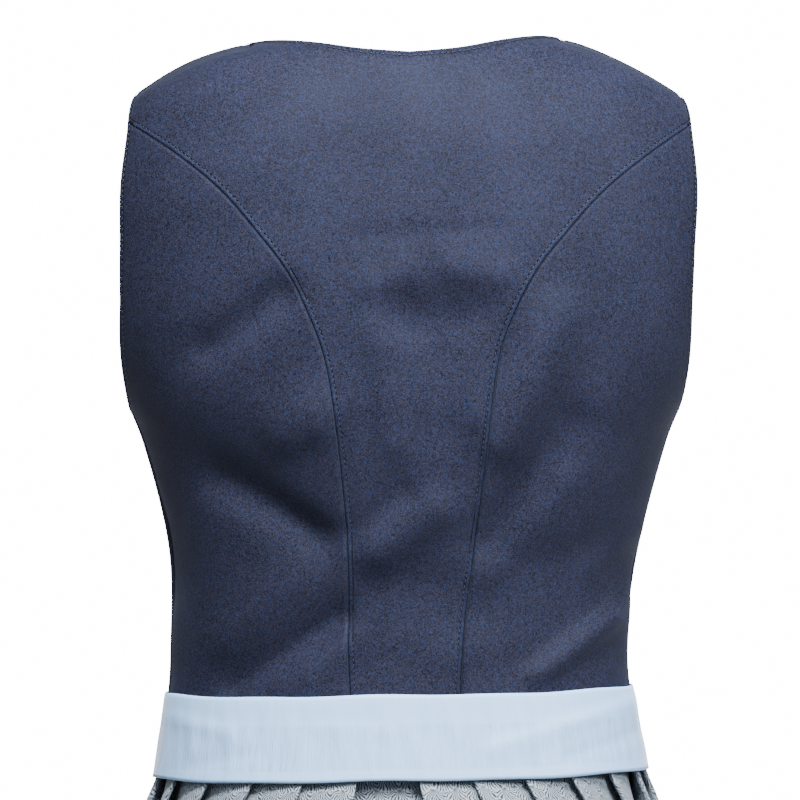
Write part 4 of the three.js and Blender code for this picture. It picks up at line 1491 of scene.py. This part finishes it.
class DIRNDL_OT_apron(bpy.types.Operator):
    """Makes the gathered apron over the front of the skirt"""

    bl_idname = "dirndl.apron"
    bl_label = "Apron"

    def execute(self, context):
        top, hem = APRON[0]["z"] - SEAM_GAP, APRON[-1]["z"]
        across = 2 * steps(APRON_GRID["points"]) - 1
        outer, inner, cloth = [], [], []
        for f in steps(APRON_GRID["rows"]):
            z = mix(top, hem, f**1.2)
            fine = 0.25 * np.sin(90 * across + z / 60) * smoothstep(-z, -SASH_FOOT_Z, 520)
            outer.append(apron_point(across, z, APRON_CLOTH / 2 + fine))
            inner.append(apron_point(across, z, -APRON_CLOTH / 2 + fine))
            cloth.append(np.stack([across * APRON_CUT / 2, np.full_like(across, top - z)], axis=-1))
        faces = np.array(outer), np.array(inner)
        piece = cloth_wall("apron", *faces, "apron_sheer", "apron_sheer", np.array(cloth))
        return {"FINISHED"}


def bow_sheet(node, grid, uv):
    """A stretch of the sash's tied ends, given as its middle face."""
    grid, uv = np.array(grid), np.array(uv)
    off = grid_normals(grid) * BOW_CLOTH / 2
    piece = cloth_wall(node, grid + off, grid - off, "apron_sheer", "apron_sheer", uv)


class DIRNDL_OT_bow(bpy.types.Operator):
    """Makes the bow: its knot, two loops and two tails"""

    bl_idname = "dirndl.bow"
    bl_label = "Bow"

    def execute(self, context):
        make_knot()
        make_loop("left", 1)
        make_loop("right", -1)
        for tail in TAILS:
            make_tail(**tail)
        return {"FINISHED"}


def make_knot():
    """The knot: the sash wound tight on itself, with small creases round it."""
    angle = steps(KNOT_GRID["points"])[:-1] * 2 * np.pi
    grid = []
    for f in steps(KNOT_GRID["rows"]):
        swell = math.sqrt(1 - 0.55 * (2 * f - 1) ** 2)
        crease = 1 + 0.035 * np.cos(9 * angle + 2 * f)
        x = 0.5 * KNOT["width"] * swell * signed_power(np.cos(angle), 0.8) * crease
        out = 0.5 * KNOT["depth"] * (1 + swell * crease * signed_power(np.sin(angle), 0.8))
        grid.append(bow_point(x, np.maximum(out, 0.4), BOW["z"] + (f - 0.5) * KNOT["height"]))
    grid = np.array(grid)
    sides, ends = tube_faces(*grid.shape[:2])
    mesh = plain_mesh("bow_knot_cloth", stand(grid.reshape(-1, 3)), sides.tolist() + ends)
    cleaned(mesh)
    map_cloth(mesh, np.array([vertex.co.xz for vertex in mesh.vertices]))
    piece = dressed("bow_knot_cloth", mesh, "apron_sheer")
    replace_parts(piece, "bow_knot")


def make_loop(name, side):
    start = KNOT["width"] / 2 + SEAM_GAP
    f = steps(LOOP_GRID["points"])
    grid, uv = [], []
    for t in steps(LOOP_GRID["rows"]):
        swing = math.sin(2 * math.pi * t)
        opened = math.sin(math.pi * t)
        x = start + LOOP["length"] * opened
        bulge = LOOP["bulge"] * swing * (1 if swing > 0 else 0.1)
        out = mix(LOOP["front"], LOOP["back"], t) + bulge
        width = mix(LOOP["pinch"], LOOP["width"], opened**0.7)
        fold = LOOP["fold"] * (1 - opened) * np.cos(4 * np.pi * f)
        fold = fold + 0.35 * np.cos(9 * np.pi * f + 3 * t)
        z = BOW["z"] + (f - 0.5) * width - LOOP["droop"] * (x - start)
        grid.append(bow_point(np.full_like(f, side * x), out + fold, z))
        uv.append(np.stack([(f - 0.5) * BOW_STRIP, np.full_like(f, LOOP["cloth"] * t)], axis=-1))
    bow_sheet(f"bow_loop_{name}", grid, uv)


def make_tail(name, side, length, slant):
    top = BOW["z"] - KNOT["height"] / 2 - SEAM_GAP
    f = steps(TAIL_GRID["points"])
    grid, uv = [], []
    for t in steps(TAIL_GRID["rows"]):
        opened = float(smoothstep(t * length, 0, TAIL["opening"]))
        width = mix(TAIL["pinch"], TAIL["width"], opened)
        centre = width / 2 + TAIL["gap"] + TAIL["spread"] * opened
        fold = mix(1, TAIL["fold"], opened) * (1 + np.cos(4 * np.pi * f + 0.8 * t))
        z = top - t * (length + slant * (f - 0.5))
        x = side * (centre + (f - 0.5) * width)
        grid.append(bow_point(x, BOW_CLOTH / 2 + fold, z))
        uv.append(np.stack([(f - 0.5) * BOW_STRIP, np.full_like(f, length * t)], axis=-1))
    bow_sheet(f"bow_tail_{name}", grid, uv)


# Studio


def area_light(name, place, target, size, power, glossy=True):
    lamp = bpy.data.lights.new(name, "AREA")
    lamp.shape = "DISK"
    lamp.size = size
    lamp.energy = power
    obj = bpy.data.objects.new(name, lamp)
    obj.location = place
    aim = Vector(target) - Vector(place)
    obj.rotation_euler = aim.to_track_quat("-Z", "Y").to_euler()
    obj.visible_glossy = glossy
    bpy.context.collection.objects.link(obj)


class DIRNDL_OT_studio(bpy.types.Operator):
    """Makes the floor, the soft lights and the camera"""

    bl_idname = "dirndl.studio"
    bl_label = "Studio"

    def execute(self, context):
        world = bpy.data.worlds.new("studio")
        context.scene.world = world
        world.use_nodes = True
        made = Tree(world.node_tree)
        seen = made.node("ShaderNodeLightPath").outputs["Is Camera Ray"]
        range_of = dict(To_Min=ROOM["light"], To_Max=ROOM["backdrop"])
        strength = made.node("ShaderNodeMapRange", Value=seen, **range_of).outputs[0]
        backdrop = made.tree.nodes["Background"].inputs
        made.feed(backdrop["Color"], (1, 1, 1, 1))
        made.feed(backdrop["Strength"], strength)
        for lamp in LAMPS:
            area_light(**lamp)
        self.floor()
        self.camera(context)
        return {"FINISHED"}

    def floor(self):
        round_it = dict(vertices=FLOOR["points"], radius=FLOOR["radius"], fill_type="NGON")
        bpy.ops.mesh.primitive_circle_add(**round_it, location=(0, 0, FLOOR["z"] * MM))
        floor = bpy.context.active_object
        floor.name = "floor"
        shader = Shader("floor")
        speckle = shader.noise(shader.place(), 40, 2, 0.5)
        tone = shader.blend(speckle, FLOOR_DARK, FLOOR_LIGHT)
        floor.data.materials.append(shader.set(Base_Color=tone, Roughness=0.9))
        floor.visible_diffuse = False

    def camera(self, context):
        lens = bpy.data.cameras.new("camera")
        lens.sensor_width = CAMERA["sensor"]
        lens.lens = CAMERA["sensor"] * CAMERA["distance"] / (PHOTO_PIXELS * PHOTO_SCALE)
        camera = bpy.data.objects.new("camera", lens)
        turn = math.radians(CAMERA["azimuth"])
        target = Vector((0, 0, CAMERA["height"]))
        away = Vector((math.sin(turn), -math.cos(turn), 0))
        camera.location = (target + away * CAMERA["distance"]) * MM
        camera.rotation_euler = (-away).to_track_quat("-Z", "Y").to_euler()
        context.collection.objects.link(camera)
        context.scene.camera = camera


# Add-on


class DIRNDL_PT_panel(bpy.types.Panel):
    """The dirndl's tools in the sidebar"""

    bl_idname = "DIRNDL_PT_panel"
    bl_label = "Dirndl"
    bl_space_type = "VIEW_3D"
    bl_region_type = "UI"
    bl_category = "Dirndl"

    def draw(self, context):
        scene = context.scene
        for group in (scene.dirndl_sizes, scene.dirndl_looks):
            for name in group.__annotations__:
                self.layout.prop(group, name)
        for operator in OPERATORS:
            self.layout.operator(operator.bl_idname)


OPERATORS = (
    DIRNDL_OT_bodice,
    DIRNDL_OT_seams,
    DIRNDL_OT_buttons,
    DIRNDL_OT_skirt,
    DIRNDL_OT_sash,
    DIRNDL_OT_apron,
    DIRNDL_OT_bow,
    DIRNDL_OT_studio,
)
CLASSES = (DirndlSizes, DirndlLooks, *OPERATORS, DIRNDL_PT_panel)


def register():
    for entry in CLASSES:
        bpy.utils.register_class(entry)
    bpy.types.Scene.dirndl_sizes = PointerProperty(type=DirndlSizes)
    bpy.types.Scene.dirndl_looks = PointerProperty(type=DirndlLooks)


def unregister():
    del bpy.types.Scene.dirndl_looks
    del bpy.types.Scene.dirndl_sizes
    for entry in reversed(CLASSES):
        bpy.utils.unregister_class(entry)


def main():
    register()
    bpy.ops.dirndl.bodice()
    bpy.ops.dirndl.seams()
    bpy.ops.dirndl.buttons()
    bpy.ops.dirndl.skirt()
    bpy.ops.dirndl.sash()
    bpy.ops.dirndl.apron()
    bpy.ops.dirndl.bow()
    bpy.ops.dirndl.studio()


if __name__ == "__main__":
    main()
